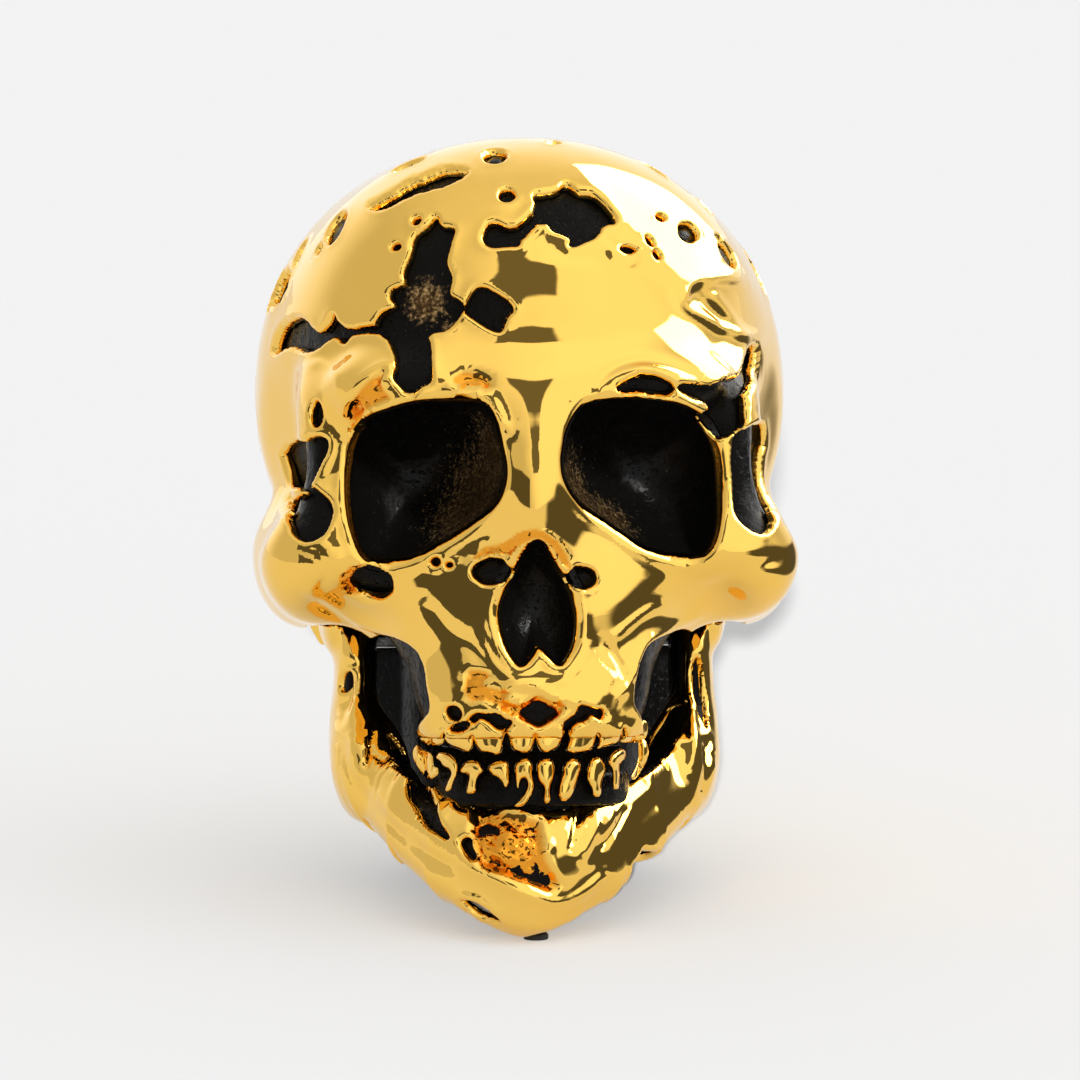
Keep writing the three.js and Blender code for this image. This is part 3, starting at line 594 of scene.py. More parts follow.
@dataclass(frozen=True)
class Trim:
    """A trim that keeps what lies above several lines joined end to end."""

    name: str
    corners: Corners
    keep_above: bool = True
    rim: Rim = PLAIN_RIM

    def distance(self, points: np.ndarray, pixels: np.ndarray) -> np.ndarray:
        """Gives the distance from the joined lines, below zero on the cut side."""
        line = np.array(self.corners, float)
        flat = points[:, 1:]
        gap = segment_distance(flat, line, False)
        height = np.interp(flat[:, 0], line[:, 0], line[:, 1])
        above = flat[:, 1] > height
        return np.where(above == self.keep_above, gap, -gap)


@dataclass(frozen=True)
class Pocket:
    """The space under a cheek arch where the jaw's end swings."""

    inner_x: float = 27.8
    outer_x: float = 41.0
    front_y: float = -13.5
    back_y: float = 17.8
    roof_z: float = 67.9
    name: str = "hinge_pocket"
    rim: Rim = PLAIN_RIM

    def distance(self, points: np.ndarray, pixels: np.ndarray) -> np.ndarray:
        """Gives each point's distance from the pocket, below zero inside it."""
        side = np.abs(points[:, 0])
        return np.maximum.reduce([
            self.inner_x - side, side - self.outer_x, self.front_y - points[:, 1],
            points[:, 1] - self.back_y, points[:, 2] - self.roof_z])


@dataclass(frozen=True)
class Stroke:
    """A ridge or a groove along a line in the photograph."""

    corners: Corners
    width: float
    height: float
    reach_widths = 3
    taper_widths = 1.5
    end_share = 0.35

    def relief(self, pixels: np.ndarray) -> np.ndarray:
        """Gives the height of the stroke at each pixel."""
        found = np.zeros(len(pixels))
        line = smooth_outline(self.corners, 5, closed=False)
        near = beside_line(pixels, line, self.reach_widths * self.width * VIEW.pixels_per_mm)
        if near.any():
            gap = segment_distance(pixels[near], line, False) / VIEW.pixels_per_mm
            ends = np.minimum(np.linalg.norm(pixels[near] - line[0], axis=1),
                              np.linalg.norm(pixels[near] - line[-1], axis=1))
            taper = np.clip(ends / VIEW.pixels_per_mm / (self.taper_widths * self.width), 0, 1)
            share = self.end_share + (1 - self.end_share) * taper
            found[near] = self.height * np.exp(-(gap / self.width) ** 2) * share
        return found


@dataclass(frozen=True)
class Dish:
    """A hollow in the gold with a rounded brim, outlined in the photograph."""

    corners: Corners
    depth: float
    brim: float = 1.3

    def relief(self, pixels: np.ndarray) -> np.ndarray:
        """Gives the height of the hollow, below zero, at each pixel."""
        return -self.depth * self.share(pixels)

    def share(self, pixels: np.ndarray) -> np.ndarray:
        """Gives how far each pixel is into the hollow, from 0 at its brim to 1."""
        found = np.zeros(len(pixels))
        line = smooth_outline(self.corners, 5)
        near = beside_line(pixels, line)
        if near.any():
            inside = inside_outline(pixels[near], line)
            gap = segment_distance(pixels[near], line, True) / VIEW.pixels_per_mm
            share = np.clip(gap / self.brim, 0, 1)
            found[near] = np.where(inside, smooth_step(share), 0)
        return found


class Maths:
    """A shader socket whose operators add Math nodes."""

    def __init__(self, nodes: "Nodes", socket: bpy.types.NodeSocket) -> None:
        """Keeps the nodes that the socket belongs to."""
        self.nodes = nodes
        self.socket = socket

    def _join(self, operation: str, first: object, second: object) -> "Maths":
        """Adds one Math node on two values."""
        return self.nodes.node("ShaderNodeMath", {"operation": operation}, {0: first, 1: second})

    def __add__(self, other: object) -> "Maths":
        """Adds."""
        return self._join("ADD", self, other)

    __radd__ = __add__

    def __sub__(self, other: object) -> "Maths":
        """Subtracts."""
        return self._join("SUBTRACT", self, other)

    def __rsub__(self, other: object) -> "Maths":
        """Subtracts from a value on the left."""
        return self._join("SUBTRACT", other, self)

    def __mul__(self, other: object) -> "Maths":
        """Multiplies."""
        return self._join("MULTIPLY", self, other)

    __rmul__ = __mul__


class Nodes:
    """Adds nodes to the tree of a material or of the world."""

    def __init__(self, tree: bpy.types.NodeTree, kind: str) -> None:
        """Keeps the tree and its shader node of a kind."""
        self.tree = tree
        self.shader = next(node for node in tree.nodes if node.type == kind)

    def node(self, kind: str, settings: dict | None = None, inputs: dict | None = None,
             output: object = 0) -> Maths:
        """Adds a node.

        Args:
            kind: The node's type.
            settings: Values set on the node first.
            inputs: Values or links for its sockets, by name or number.
            output: Name or number of the socket to return.

        Returns:
            The output socket, ready for maths.
        """
        made = self.tree.nodes.new(kind)
        for key, value in (settings or {}).items():
            setattr(made, key, value)
        for key, value in (inputs or {}).items():
            self._fill(made.inputs[key], value)
        return Maths(self, made.outputs[output])

    def _fill(self, socket: bpy.types.NodeSocket, value: object) -> None:
        """Links a value to a socket, or writes it there."""
        if isinstance(value, Maths):
            self.tree.links.new(value.socket, socket)
        elif socket.type == "RGBA":
            socket.default_value = (*value, 1.0)
        else:
            socket.default_value = value

    def split(self, vector: Maths) -> tuple[Maths, ...]:
        """Gives a vector's three numbers."""
        first = self.node("ShaderNodeSeparateXYZ", {}, {0: vector})
        return tuple(Maths(self, socket) for socket in first.socket.node.outputs)

    def between(self, value: Maths, low: float, high: float) -> Maths:
        """Gives 0 below low, 1 above high and a smooth step between them."""
        return self.node("ShaderNodeMapRange", {"interpolation_type": "SMOOTHSTEP"}, {
            "Value": value, "From Min": low, "From Max": high, "To Min": 0.0, "To Max": 1.0}, "Result")

    def set(self, **inputs: object) -> None:
        """Sets or links the shader's own sockets, with _ for a space in their names."""
        for key, value in inputs.items():
            self._fill(self.shader.inputs[key.replace("_", " ")], value)


class Shader(Nodes):
    """Builds one node material."""

    def __init__(self, name: str) -> None:
        """Starts a material with a Principled shader."""
        self.material = bpy.data.materials.new(name)
        self.material.use_nodes = True
        super().__init__(self.material.node_tree, "BSDF_PRINCIPLED")

    def place(self) -> Maths:
        """Gives the Object coordinates."""
        return self.node("ShaderNodeTexCoord", output="Object")

    def noise(self, scale: float, detail: float = 4.0, roughness: float = 0.5,
              distortion: float = 0.0) -> Maths:
        """Gives a noise between 0 and 1 on Object coordinates."""
        return self.node("ShaderNodeTexNoise", {}, {
            "Vector": self.place(), "Scale": scale, "Detail": detail, "Roughness": roughness,
            "Distortion": distortion}, "Fac")

    def stretched_noise(self, scale: tuple[float, float, float], detail: float) -> Maths:
        """Gives a noise that is stretched differently along each axis."""
        turned = self.node("ShaderNodeMapping", {}, {
            "Vector": self.place(), "Rotation": (0.5, 0.3, 0.9), "Scale": scale}, "Vector")
        return self.node("ShaderNodeTexNoise", {}, {
            "Vector": turned, "Scale": 1.0, "Detail": detail, "Roughness": 0.6}, "Fac")

    def mix(self, share: Maths, first: object, second: object) -> Maths:
        """Mixes two colours, whose sockets on a Mix node are numbers 6 and 7, into number 2."""
        return self.node("ShaderNodeMix", {"data_type": "RGBA"},
                         {"Factor": share, 6: first, 7: second}, 2)

    def attribute(self, name: str) -> Maths:
        """Reads a number stored on the piece's own points."""
        return self.node("ShaderNodeAttribute", {"attribute_name": name}, {}, "Fac")

    def bump(self, height: Maths, distance: float, strength: float = 1.0) -> Maths:
        """Turns a height into a normal."""
        return self.node("ShaderNodeBump", {}, {
            "Height": height, "Distance": distance, "Strength": strength}, "Normal")


@dataclass(frozen=True)
class GoldFinish:
    """Mirror-polished warm gold with a faint liquid waviness, and a painted orange reflection in its folds
    and dishes.
    """

    colour: tuple[float, float, float] = (0.96, 0.61, 0.135)
    deep_colour: tuple[float, float, float] = (0.93, 0.565, 0.105)
    # painted reflection: the deeper orange that the gold shows where it mirrors itself in folds and dishes
    fold_reflection_colour: tuple[float, float, float] = (0.84, 0.34, 0.028)
    roughness: float = 0.025
    haze: float = 0.05
    haze_edges: tuple[float, float] = (0.52, 0.78)
    fold_reflection_edges: tuple[float, float] = (0.1, 0.9)
    cloud_scale: float = 38.0
    haze_scale: float = 95.0
    wave_scale: float = 120.0
    wave_depth: float = 0.00002

    def material(self) -> bpy.types.Material:
        """Returns the gold material."""
        made = Shader("gold")
        cloud = made.noise(self.cloud_scale, 3.0)
        smear = made.between(made.noise(self.haze_scale, 5.0, 0.62, 0.4), *self.haze_edges)
        plain = made.mix(cloud, self.colour, self.deep_colour)
        # painted reflection: the fold share mixes a deeper orange into the base colour, standing in for
        # the gold mirroring itself in its hollows
        fold = made.between(made.attribute("fold") + (cloud - 0.5) * 0.3, *self.fold_reflection_edges)
        made.set(Base_Color=made.mix(fold, plain, self.fold_reflection_colour),
                 Metallic=1.0,
                 Roughness=smear * self.haze + self.roughness,
                 Normal=made.bump(made.noise(self.wave_scale, 2.0), self.wave_depth, 0.5))
        return made.material


@dataclass(frozen=True)
class BlackFinish:
    """Glossy black moulding, pitted and scratched, worn to bronze where it is marked."""

    name: str
    black: tuple[float, float, float] = (0.0045, 0.0041, 0.0036)
    bronze: tuple[float, float, float] = (0.10, 0.052, 0.018)
    pale_bronze: tuple[float, float, float] = (0.62, 0.40, 0.17)
    roughness: float = 0.1
    specular: float = 0.06
    pit_scale: float = 620.0
    pit_edges: tuple[float, float] = (0.58, 0.7)
    scratch_scale: Place = (260.0, 2600.0, 900.0)
    scratch_edges: tuple[float, float] = (0.62, 0.72)
    worn_edges: tuple[float, float] = (0.3, 0.95)
    pale_edges: tuple[float, float] = (0.5, 0.72)
    haze_scale: float = 260.0
    haze: float = 0.16
    worn_haze: float = 0.22
    relief_scale: float = 210.0
    relief_depth: float = 0.00042

    def material(self) -> bpy.types.Material:
        """Returns the black material, which reads the points' "worn" value."""
        made = Shader(self.name)
        fine = made.noise(self.pit_scale, 8.0, 0.72)
        pits = made.between(made.noise(self.pit_scale * 1.6, 3.0, 0.5), *self.pit_edges)
        scratch = made.between(made.stretched_noise(self.scratch_scale, 3.0), *self.scratch_edges)
        grit = made.noise(self.pit_scale * 2.2, 2.0, 0.5)
        speckle = made.attribute("worn") + (fine - 0.5) * 1.3 + (grit - 0.5) * 0.7
        worn = made.between(speckle, *self.worn_edges)
        pale = made.between(fine * 0.6 + grit * 0.5, *self.pale_edges)
        metal = made.mix(pale, self.bronze, self.pale_bronze)
        relief = made.noise(self.relief_scale, 4.0, 0.6) + fine * 0.35 - pits * 0.5 - scratch * 0.3
        made.set(Base_Color=made.mix(worn, self.black, metal),
                 Metallic=worn * 0.9,
                 Specular_IOR_Level=self.specular,
                 Roughness=made.noise(self.haze_scale, 6.0) * self.haze + self.roughness
                 + worn * self.worn_haze,
                 Normal=made.bump(relief, self.relief_depth, 0.75))
        return made.material


@dataclass(frozen=True)
class PlainFinish:
    """A plain maker's material with a fine grain."""

    name: str
    colour: tuple[float, float, float]
    shade: tuple[float, float, float]
    metallic: float
    roughness: float
    grain_scale: float
    grain_depth: float

    def material(self) -> bpy.types.Material:
        """Returns the material."""
        made = Shader(self.name)
        grain = made.noise(self.grain_scale, 6.0, 0.65)
        made.set(Base_Color=made.mix(grain, self.colour, self.shade),
                 Metallic=self.metallic,
                 Roughness=grain * 0.15 + self.roughness,
                 Normal=made.bump(grain, self.grain_depth, 0.8))
        return made.material


GOLD = GoldFinish().material()
BLACK_CORE = BlackFinish("black_core").material()
BLACK_BOWL = BlackFinish("black_bowl", roughness=0.03, specular=0.13, pit_scale=900.0).material()
STEEL = PlainFinish("steel", (0.55, 0.54, 0.51), (0.4, 0.39, 0.37), metallic=1.0, roughness=0.24,
                    grain_scale=900.0, grain_depth=0.00002).material()
NYLON = PlainFinish("nylon", (0.78, 0.76, 0.7), (0.7, 0.68, 0.61), metallic=0.0, roughness=0.45,
                    grain_scale=500.0, grain_depth=0.00003).material()
FELT = PlainFinish("felt", (0.028, 0.027, 0.026), (0.012, 0.012, 0.012), metallic=0.0, roughness=0.8,
                   grain_scale=1500.0, grain_depth=0.0004).material()


def read_points(mesh: bpy.types.Mesh) -> np.ndarray:
    """Reads a mesh's points, one a row."""
    flat = np.zeros(len(mesh.vertices) * 3)
    mesh.vertices.foreach_get("co", flat)
    return flat.reshape(-1, 3)


def write_points(mesh: bpy.types.Mesh, points: np.ndarray) -> None:
    """Writes a mesh's points."""
    mesh.vertices.foreach_set("co", points.ravel())
    mesh.update()


def with_modifier(mesh: bpy.types.Mesh, kind: str, **settings: object) -> bpy.types.Mesh:
    """Returns a new mesh with one modifier applied."""
    holder = bpy.data.objects.new("holder", mesh)
    bpy.context.scene.collection.objects.link(holder)
    modifier = holder.modifiers.new(kind.lower(), kind)
    for key, value in settings.items():
        setattr(modifier, key, value)
    graph = bpy.context.evaluated_depsgraph_get()
    made = bpy.data.meshes.new_from_object(holder.evaluated_get(graph))
    bpy.data.objects.remove(holder)
    return made


def cut_with(mesh: bpy.types.Mesh, cutter: bpy.types.Mesh,
             operation: str = "DIFFERENCE") -> bpy.types.Mesh:
    """Returns a mesh cut by, or joined with, another closed mesh."""
    tool = bpy.data.objects.new("tool", cutter)
    bpy.context.scene.collection.objects.link(tool)
    made = with_modifier(mesh, "BOOLEAN", operation=operation, solver="MANIFOLD", object=tool)
    bpy.data.objects.remove(tool)
    return made


def to_mesh(shape: bmesh.types.BMesh, name: str) -> bpy.types.Mesh:
    """Turns a bmesh into a mesh and frees it."""
    mesh = bpy.data.meshes.new(name)
    shape.to_mesh(mesh)
    shape.free()
    return mesh


def from_mesh(mesh: bpy.types.Mesh) -> bmesh.types.BMesh:
    """Opens a mesh as a bmesh."""
    shape = bmesh.new()
    shape.from_mesh(mesh)
    shape.verts.ensure_lookup_table()
    return shape


def place_piece(name: str, mesh: bpy.types.Mesh, material: bpy.types.Material, body: Body,
                slot: str, *nodes: str, sharp_deg: float = 38.0) -> bpy.types.Object:
    """Sets a finished mesh in the frame as a piece.

    Args:
        name: The piece's name.
        mesh: Its mesh in upright millimetres.
        material: Its finish.
        body: The body that it rides on.
        slot: The record's material slot; not used.
        nodes: CAD nodes that it stands for.
        sharp_deg: Edges sharper than this stay crisp.

    Returns:
        The piece's object.
    """
    mesh.transform(STANCE.matrix())
    mesh.name = name
    for polygon in mesh.polygons:
        polygon.use_smooth = True
    mesh.set_sharp_from_angle(angle=math.radians(sharp_deg))
    mesh.materials.clear()
    mesh.materials.append(material)
    piece = bpy.data.objects.new(name, mesh)
    bpy.context.scene.collection.objects.link(piece)
    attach(piece, body.value)
    if nodes:
        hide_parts(*nodes)
    LOG.info("%s: %d faces on %s", name, len(mesh.polygons), body.value)
    return piece


def store(mesh: bpy.types.Mesh, name: str, values: np.ndarray) -> None:
    """Stores a number on each of a mesh's points."""
    layer = mesh.attributes.get(name) or mesh.attributes.new(name, "FLOAT", "POINT")
    layer.data.foreach_set("value", values.astype(np.float32))


def mark_worn(mesh: bpy.types.Mesh, patches: Patches = ()) -> None:
    """Stores how worn each point is, from 0 to 1, around given places."""
    points = read_points(mesh)
    worn = np.zeros(len(points))
    for centre, radius in patches:
        gap = np.linalg.norm(points - np.array(centre), axis=1)
        worn = np.maximum(worn, np.exp(-(gap / radius) ** 2))
    store(mesh, "worn", worn)


def smooth_verts(shape: bmesh.types.BMesh, rounds: int) -> None:
    """Moves every point halfway to the middle of its neighbours, several times."""
    for _ in range(rounds):
        bmesh.ops.smooth_vert(shape, verts=shape.verts, factor=0.5, use_axis_x=True,
                              use_axis_y=True, use_axis_z=True)


def add_ball(shape: bmesh.types.BMesh, centre: Place, radii: Place, detail: int) -> None:
    """Adds a stretched ball."""
    matrix = Matrix.Translation(centre) @ Matrix.Diagonal((*radii, 1.0))
    bmesh.ops.create_icosphere(shape, subdivisions=detail, radius=1.0, matrix=matrix)


def cast(places: list, travel: Place) -> bmesh.types.BMesh:
    """Extrudes a flat outline along a travel and closes it."""
    shape = bmesh.new()
    face = shape.faces.new([shape.verts.new(place) for place in places])
    made = bmesh.ops.extrude_face_region(shape, geom=[face])["geom"]
    verts = [item for item in made if isinstance(item, bmesh.types.BMVert)]
    bmesh.ops.translate(shape, vec=travel, verts=verts)
    return shape


def bevel_sharp(shape: bmesh.types.BMesh, sharp_deg: float, offset: float, segments: int) -> None:
    """Rounds the edges that are sharper than an angle."""
    sharp = [edge for edge in shape.edges if edge.calc_face_angle(0) > math.radians(sharp_deg)]
    bmesh.ops.bevel(shape, geom=sharp, offset=offset, segments=segments, profile=0.5,
                    affect="EDGES", material=-1)


def keep_side(mesh: bpy.types.Mesh, plane_y: float, keep: Keep) -> bpy.types.Mesh:
    """Returns the part of an open skin on one side of a plane across y."""
    shape = from_mesh(mesh)
    faces = shape.verts[:] + shape.edges[:] + shape.faces[:]
    bmesh.ops.bisect_plane(shape, geom=faces, plane_co=(0, plane_y, 0), plane_no=(0, 1, 0),
                           clear_outer=keep is Keep.BELOW, clear_inner=keep is Keep.ABOVE)
    return to_mesh(shape, "half")


def block(low: Place, high: Place) -> bpy.types.Mesh:
    """Makes a plain block to cut with, between two corners."""
    shape = bmesh.new()
    bmesh.ops.create_cube(shape, size=1.0)
    size = Vector(high) - Vector(low)
    bmesh.ops.scale(shape, vec=size, verts=shape.verts)
    bmesh.ops.translate(shape, vec=(Vector(high) + Vector(low)) / 2, verts=shape.verts)
    return to_mesh(shape, "block")


@dataclass(frozen=True)
class Wrap:
    """Wraps a clay form in an even skin of quads."""

    clay: Clay
    seed_detail: int = 3
    voxel: float = 2.4

    def skin(self) -> bpy.types.Mesh:
        """Returns the skin, about half a voxel fine, settled on the clay."""
        shape = bmesh.new()
        seeds = [(sign, *seed) for mass in self.clay.masses for seed in mass.seeds()
                 for sign in ((-1, 1) if mass.paired else (1,))]
        for sign, centre, radii in seeds:
            add_ball(shape, (sign * centre[0], centre[1], centre[2]), radii, self.seed_detail)
        mesh = with_modifier(to_mesh(shape, "seed"), "REMESH", mode="VOXEL", voxel_size=self.voxel,
                             adaptivity=0.0)
        write_points(mesh, self.clay.settle(read_points(mesh), rounds=6))
        mesh = self._even_out(mesh, 3)
        mesh = with_modifier(mesh, "SUBSURF", levels=1, render_levels=1)
        write_points(mesh, self.clay.settle(read_points(mesh), rounds=2))
        return mesh

    def _even_out(self, mesh: bpy.types.Mesh, rounds: int) -> bpy.types.Mesh:
        """Evens the spacing of points and settles them again."""
        shape = from_mesh(mesh)
        smooth_verts(shape, rounds)
        evened = to_mesh(shape, "evened")
        write_points(evened, self.clay.settle(read_points(evened), rounds=3))
        return evened


@dataclass
class Sheet:
    """A gold sheet over a clay form, cut by openings, with rounded rims and relief."""

    clay: Clay
    openings: tuple
    strokes: tuple = ()
    wall: float = GOLD_WALL
    finest_band: float = 1.15
    waviness: float = 0.03
    wave_lengths: tuple[float, float] = (19.0, 7.5)
    crumple: float = 0.4
    crumple_lengths: tuple[float, float] = (4.4, 2.6)
    inner_reach: float = 1.6
    inner_limit: float = 1.9
    drawn_height: float = 0.02
    front_slope: float = 2.5
    snap_reach: float = 1.5
    snap_step: float = 0.05
    snap_travel: float = 0.45
    snap_rounds: int = 4

    def gaps(self, points: np.ndarray) -> np.ndarray:
        """Gives each point's distance to every opening, one opening a row."""
        pixels = VIEW.pixels(points)
        return np.stack([opening.distance(points, pixels) for opening in self.openings])

    def nearest_edge(self, points: np.ndarray) -> np.ndarray:
        """Gives each point's distance to the nearest opening."""
        return self.gaps(points).min(axis=0)

    def build(self, skin: bpy.types.Mesh) -> bpy.types.Mesh:
        """Cuts, refines, shapes and thickens the sheet.

        Args:
            skin: The closed or open skin that it is cut from.

        Returns:
            The finished mesh, in upright millimetres.
        """
        mesh = self._refine(skin, None)
        mesh = self._refine(mesh, self.finest_band)
        mesh = self._cut(mesh)
        self._snap_edges(mesh)
        return self._thicken(mesh)

    def _refine(self, mesh: bpy.types.Mesh, band: float | None) -> bpy.types.Mesh:
        """Halves the faces within a band along the openings' edges.

        Args:
            mesh: The skin to refine.
            band: How far the band reaches, or None for as far as each rim asks.

        Returns:
            The refined skin.
        """
        points = read_points(mesh)
        gaps = self.gaps(points)
        if band is None:
            reach = np.array([opening.rim.fine_reach for opening in self.openings])
            near = ((gaps < reach[:, None]) & (gaps > -self.inner_reach)).any(axis=0)
            near |= self._drawn(points)
            near &= gaps.min(axis=0) > -self.inner_limit
        else:
            near = np.abs(gaps.min(axis=0)) < band
        shape = from_mesh(mesh)
        edges = [e for e in shape.edges if near[e.verts[0].index] and near[e.verts[1].index]]
        bmesh.ops.subdivide_edges(shape, edges=edges, cuts=1, use_grid_fill=True)
        wide = [face for face in shape.faces if len(face.verts) > 4]
        bmesh.ops.triangulate(shape, faces=wide)
        finer = to_mesh(shape, "finer")
        write_points(finer, self.clay.settle(read_points(finer), rounds=2))
        return finer

    def _drawn(self, points: np.ndarray) -> np.ndarray:
        """Tells which points lie on a stroke or in a dish."""
        pixels = VIEW.pixels(points)
        found = np.zeros(len(points), bool)
        for stroke in self.strokes:
            found |= np.abs(stroke.relief(pixels)) > self.drawn_height
        return found & (self.clay.normals(points)[:, 1] < -0.05)

    def _cut(self, mesh: bpy.types.Mesh) -> bpy.types.Mesh:
        """Removes the faces inside the openings and any loose crumbs."""
        gap = self.nearest_edge(read_points(mesh))
        shape = from_mesh(mesh)
        doomed = [f for f in shape.faces if sum(gap[v.index] for v in f.verts) < 0]
        bmesh.ops.delete(shape, geom=doomed, context="FACES")
        self._drop_crumbs(shape)
        return to_mesh(shape, "cut")

    @staticmethod
    def _drop_crumbs(shape: bmesh.types.BMesh) -> None:
        """Keeps only the largest connected sheet."""
        shape.faces.ensure_lookup_table()
        seen = set()
        groups = []
        for face in shape.faces:
            if face.index in seen:
                continue
            group, waiting = [], [face]
            seen.add(face.index)
            while waiting:
                here = waiting.pop()
                group.append(here)
                for edge in here.edges:
                    for other in edge.link_faces:
                        if other.index not in seen:
                            seen.add(other.index)
                            waiting.append(other)
            groups.append(group)
        groups.sort(key=len, reverse=True)
        loose = [face for group in groups[1:] for face in group]
        if loose:
            bmesh.ops.delete(shape, geom=loose, context="FACES")
        stray = [vert for vert in shape.verts if not vert.link_faces]
        bmesh.ops.delete(shape, geom=stray, context="VERTS")

    def _snap_edges(self, mesh: bpy.types.Mesh) -> None:
        """Moves the sheet's edge points exactly onto the openings' edges."""
        points = read_points(mesh)
        shape = from_mesh(mesh)
        rim = np.array([vert.is_boundary for vert in shape.verts])
        pairs = np.array([[e.verts[0].index, e.verts[1].index] for e in shape.edges])
        shape.free()
        for turn in range(self.snap_rounds):
            edge = points[rim]
            gap = self.nearest_edge(edge)
            gap = np.where(np.abs(gap) < self.snap_reach, gap, 0.0)
            slope = np.stack([(self.nearest_edge(edge + offset) - self.nearest_edge(edge - offset))
                              / (2 * self.snap_step) for offset in self.snap_step * np.eye(3)], axis=1)
            normal = self.clay.normals(edge)
            slope -= normal * (slope * normal).sum(axis=1)[:, None]
            speed = np.maximum((slope * slope).sum(axis=1), 0.25)
            move = slope * (gap / speed)[:, None]
            length = np.maximum(np.linalg.norm(move, axis=1), 1e-9)
            points[rim] = edge - move * np.minimum(1, self.snap_travel / length)[:, None]
            if turn < self.snap_rounds // 2:
                points = self._relax(points, pairs, rim)
            points = self.clay.settle(points, rounds=1)
        write_points(mesh, points)

    @staticmethod
    def _relax(points: np.ndarray, pairs: np.ndarray, held: np.ndarray) -> np.ndarray:
        """Moves the points that aren't held halfway to the middle of their neighbours."""
        first = np.concatenate([pairs[:, 0], pairs[:, 1]])
        second = np.concatenate([pairs[:, 1], pairs[:, 0]])
        count = np.maximum(np.bincount(first, minlength=len(points)), 1)
        middle = np.stack([np.bincount(first, points[second, axis], len(points)) / count
                           for axis in range(3)], axis=1)
        eased = points + 0.5 * (middle - points)
        return np.where(held[:, None], points, eased)

    def _thicken(self, mesh: bpy.types.Mesh) -> bpy.types.Mesh:
        """Adds the relief, the rims and the wall."""
        points = read_points(mesh)
        normal = self.clay.normals(points)
        height = self._relief(points, normal)
        lip = np.zeros(len(points))
        roll = np.zeros(len(points))
        for gap, opening in zip(self.gaps(points), self.openings):
            height += opening.rim.swell(gap)
            sink = opening.rim.sink(gap)
            if opening.rim.rolls_in:
                roll = np.maximum(roll, sink)
            else:
                lip = np.maximum(lip, sink)
        outer = points + normal * (height - roll)[:, None]
        write_points(mesh, outer)
        shape = from_mesh(mesh)
        bmesh.ops.recalc_face_normals(shape, faces=shape.faces)
        mesh = to_mesh(shape, "outer")
        count = len(mesh.vertices)
        wall = with_modifier(mesh, "SOLIDIFY", thickness=self.wall, offset=-1.0, use_rim=True)
        thick = read_points(wall)
        thick[:count] = outer - normal * lip[:, None]
        thick[count:2 * count] = outer - normal * self.wall
        write_points(wall, thick)
        # the fold share feeds the gold's painted orange reflection in folds and dishes
        store(wall, "fold", np.resize(self._folds(points, normal), len(thick)))
        return wall

    def _folds(self, points: np.ndarray, normal: np.ndarray) -> np.ndarray:
        """Gives how deep in a fold each point lies, from 0 to 1."""
        pixels = VIEW.pixels(points)
        found = np.zeros(len(points))
        for stroke in self.strokes:
            if isinstance(stroke, Dish):
                found = np.maximum(found, stroke.share(pixels))
        return found * self._facing(normal)

    def _facing(self, normal: np.ndarray) -> np.ndarray:
        """Gives how far each point faces the photograph's side, from 0 to 1."""
        return np.clip(-normal[:, 1] * self.front_slope, 0, 1)

    def _relief(self, points: np.ndarray, normal: np.ndarray) -> np.ndarray:
        """Gives the height of the strokes and of the metal's slow waves."""
        turned = points[:, ::-1]
        waves = (ragged(points, self.waviness, self.wave_lengths[0])
                 + ragged(turned, self.waviness / 6, self.wave_lengths[1]))
        pixels = VIEW.pixels(points)
        strokes = sum((stroke.relief(pixels) for stroke in self.strokes), np.zeros(len(points)))
        crumple = (ragged(points, self.crumple, self.crumple_lengths[0])
                   + ragged(turned, self.crumple / 2, self.crumple_lengths[1]))
        return waves + strokes * self._facing(normal) + crumple * self._folds(points, normal)


LEFT_EYE = Window("left_eye", (
    (357, 443), (364, 429), (378, 420), (408, 409), (431, 405), (460, 404), (483, 406), (491, 420),
    (496, 443), (500, 466), (498, 485), (489, 502), (470, 519), (447, 534), (422, 547), (403, 555),
    (382, 558), (368, 552), (360, 534), (355, 515), (352, 485), (354, 462)), -12, SOCKET_RIM, 0.05)
RIGHT_EYE = Window("right_eye", (
    (570, 449), (575, 429), (589, 408), (611, 403), (638, 403), (668, 407), (688, 415), (704, 431),
    (713, 453), (716, 489), (714, 524), (706, 548), (694, 556), (674, 554), (646, 544), (619, 526),
    (589, 504), (573, 481), (569, 465)), -12, SOCKET_RIM, 0.05)
NOSE = Window("nose", (
    (537, 544), (544, 547), (553, 559), (561, 571), (570, 589), (575, 613), (575, 631), (570, 647),
    (559, 661), (550, 654), (542, 647), (536, 646), (529, 654), (520, 662), (508, 648), (501, 631),
    (498, 613), (501, 599), (508, 581), (516, 566), (528, 550)), -20, NOSE_RIM, 0.05)
CROSS = Window("cross", (
    (438, 215), (443, 224), (456, 228), (452, 242), (448, 262), (453, 277), (451, 294), (465, 307),
    (450, 326), (430, 333), (431, 346), (432, 378), (422, 386), (412, 392), (403, 388), (395, 374),
    (399, 357), (391, 338), (374, 327), (382, 313), (395, 306), (391, 292), (405, 283), (405, 271),
    (412, 254), (417, 235), (429, 225)))
LEFT_ARM = Window("left_arm", (
    (378, 323), (364, 326), (349, 328), (338, 321), (334, 314), (328, 325), (317, 331), (307, 320),
    (296, 317), (282, 327), (273, 344), (275, 351), (290, 344), (305, 348), (317, 346), (334, 335),
    (344, 340), (355, 332), (378, 330)))
PATCH = Window("patch", (
    (467, 308), (477, 290), (487, 288), (504, 298), (515, 309), (508, 317), (501, 330), (487, 325),
    (470, 313)))
UPPER_LEFT = Window("upper_left", (
    (373, 204), (380, 207), (393, 203), (414, 193), (433, 187), (454, 181), (470, 170), (446, 168),
    (424, 177), (416, 179), (393, 193)), -4)
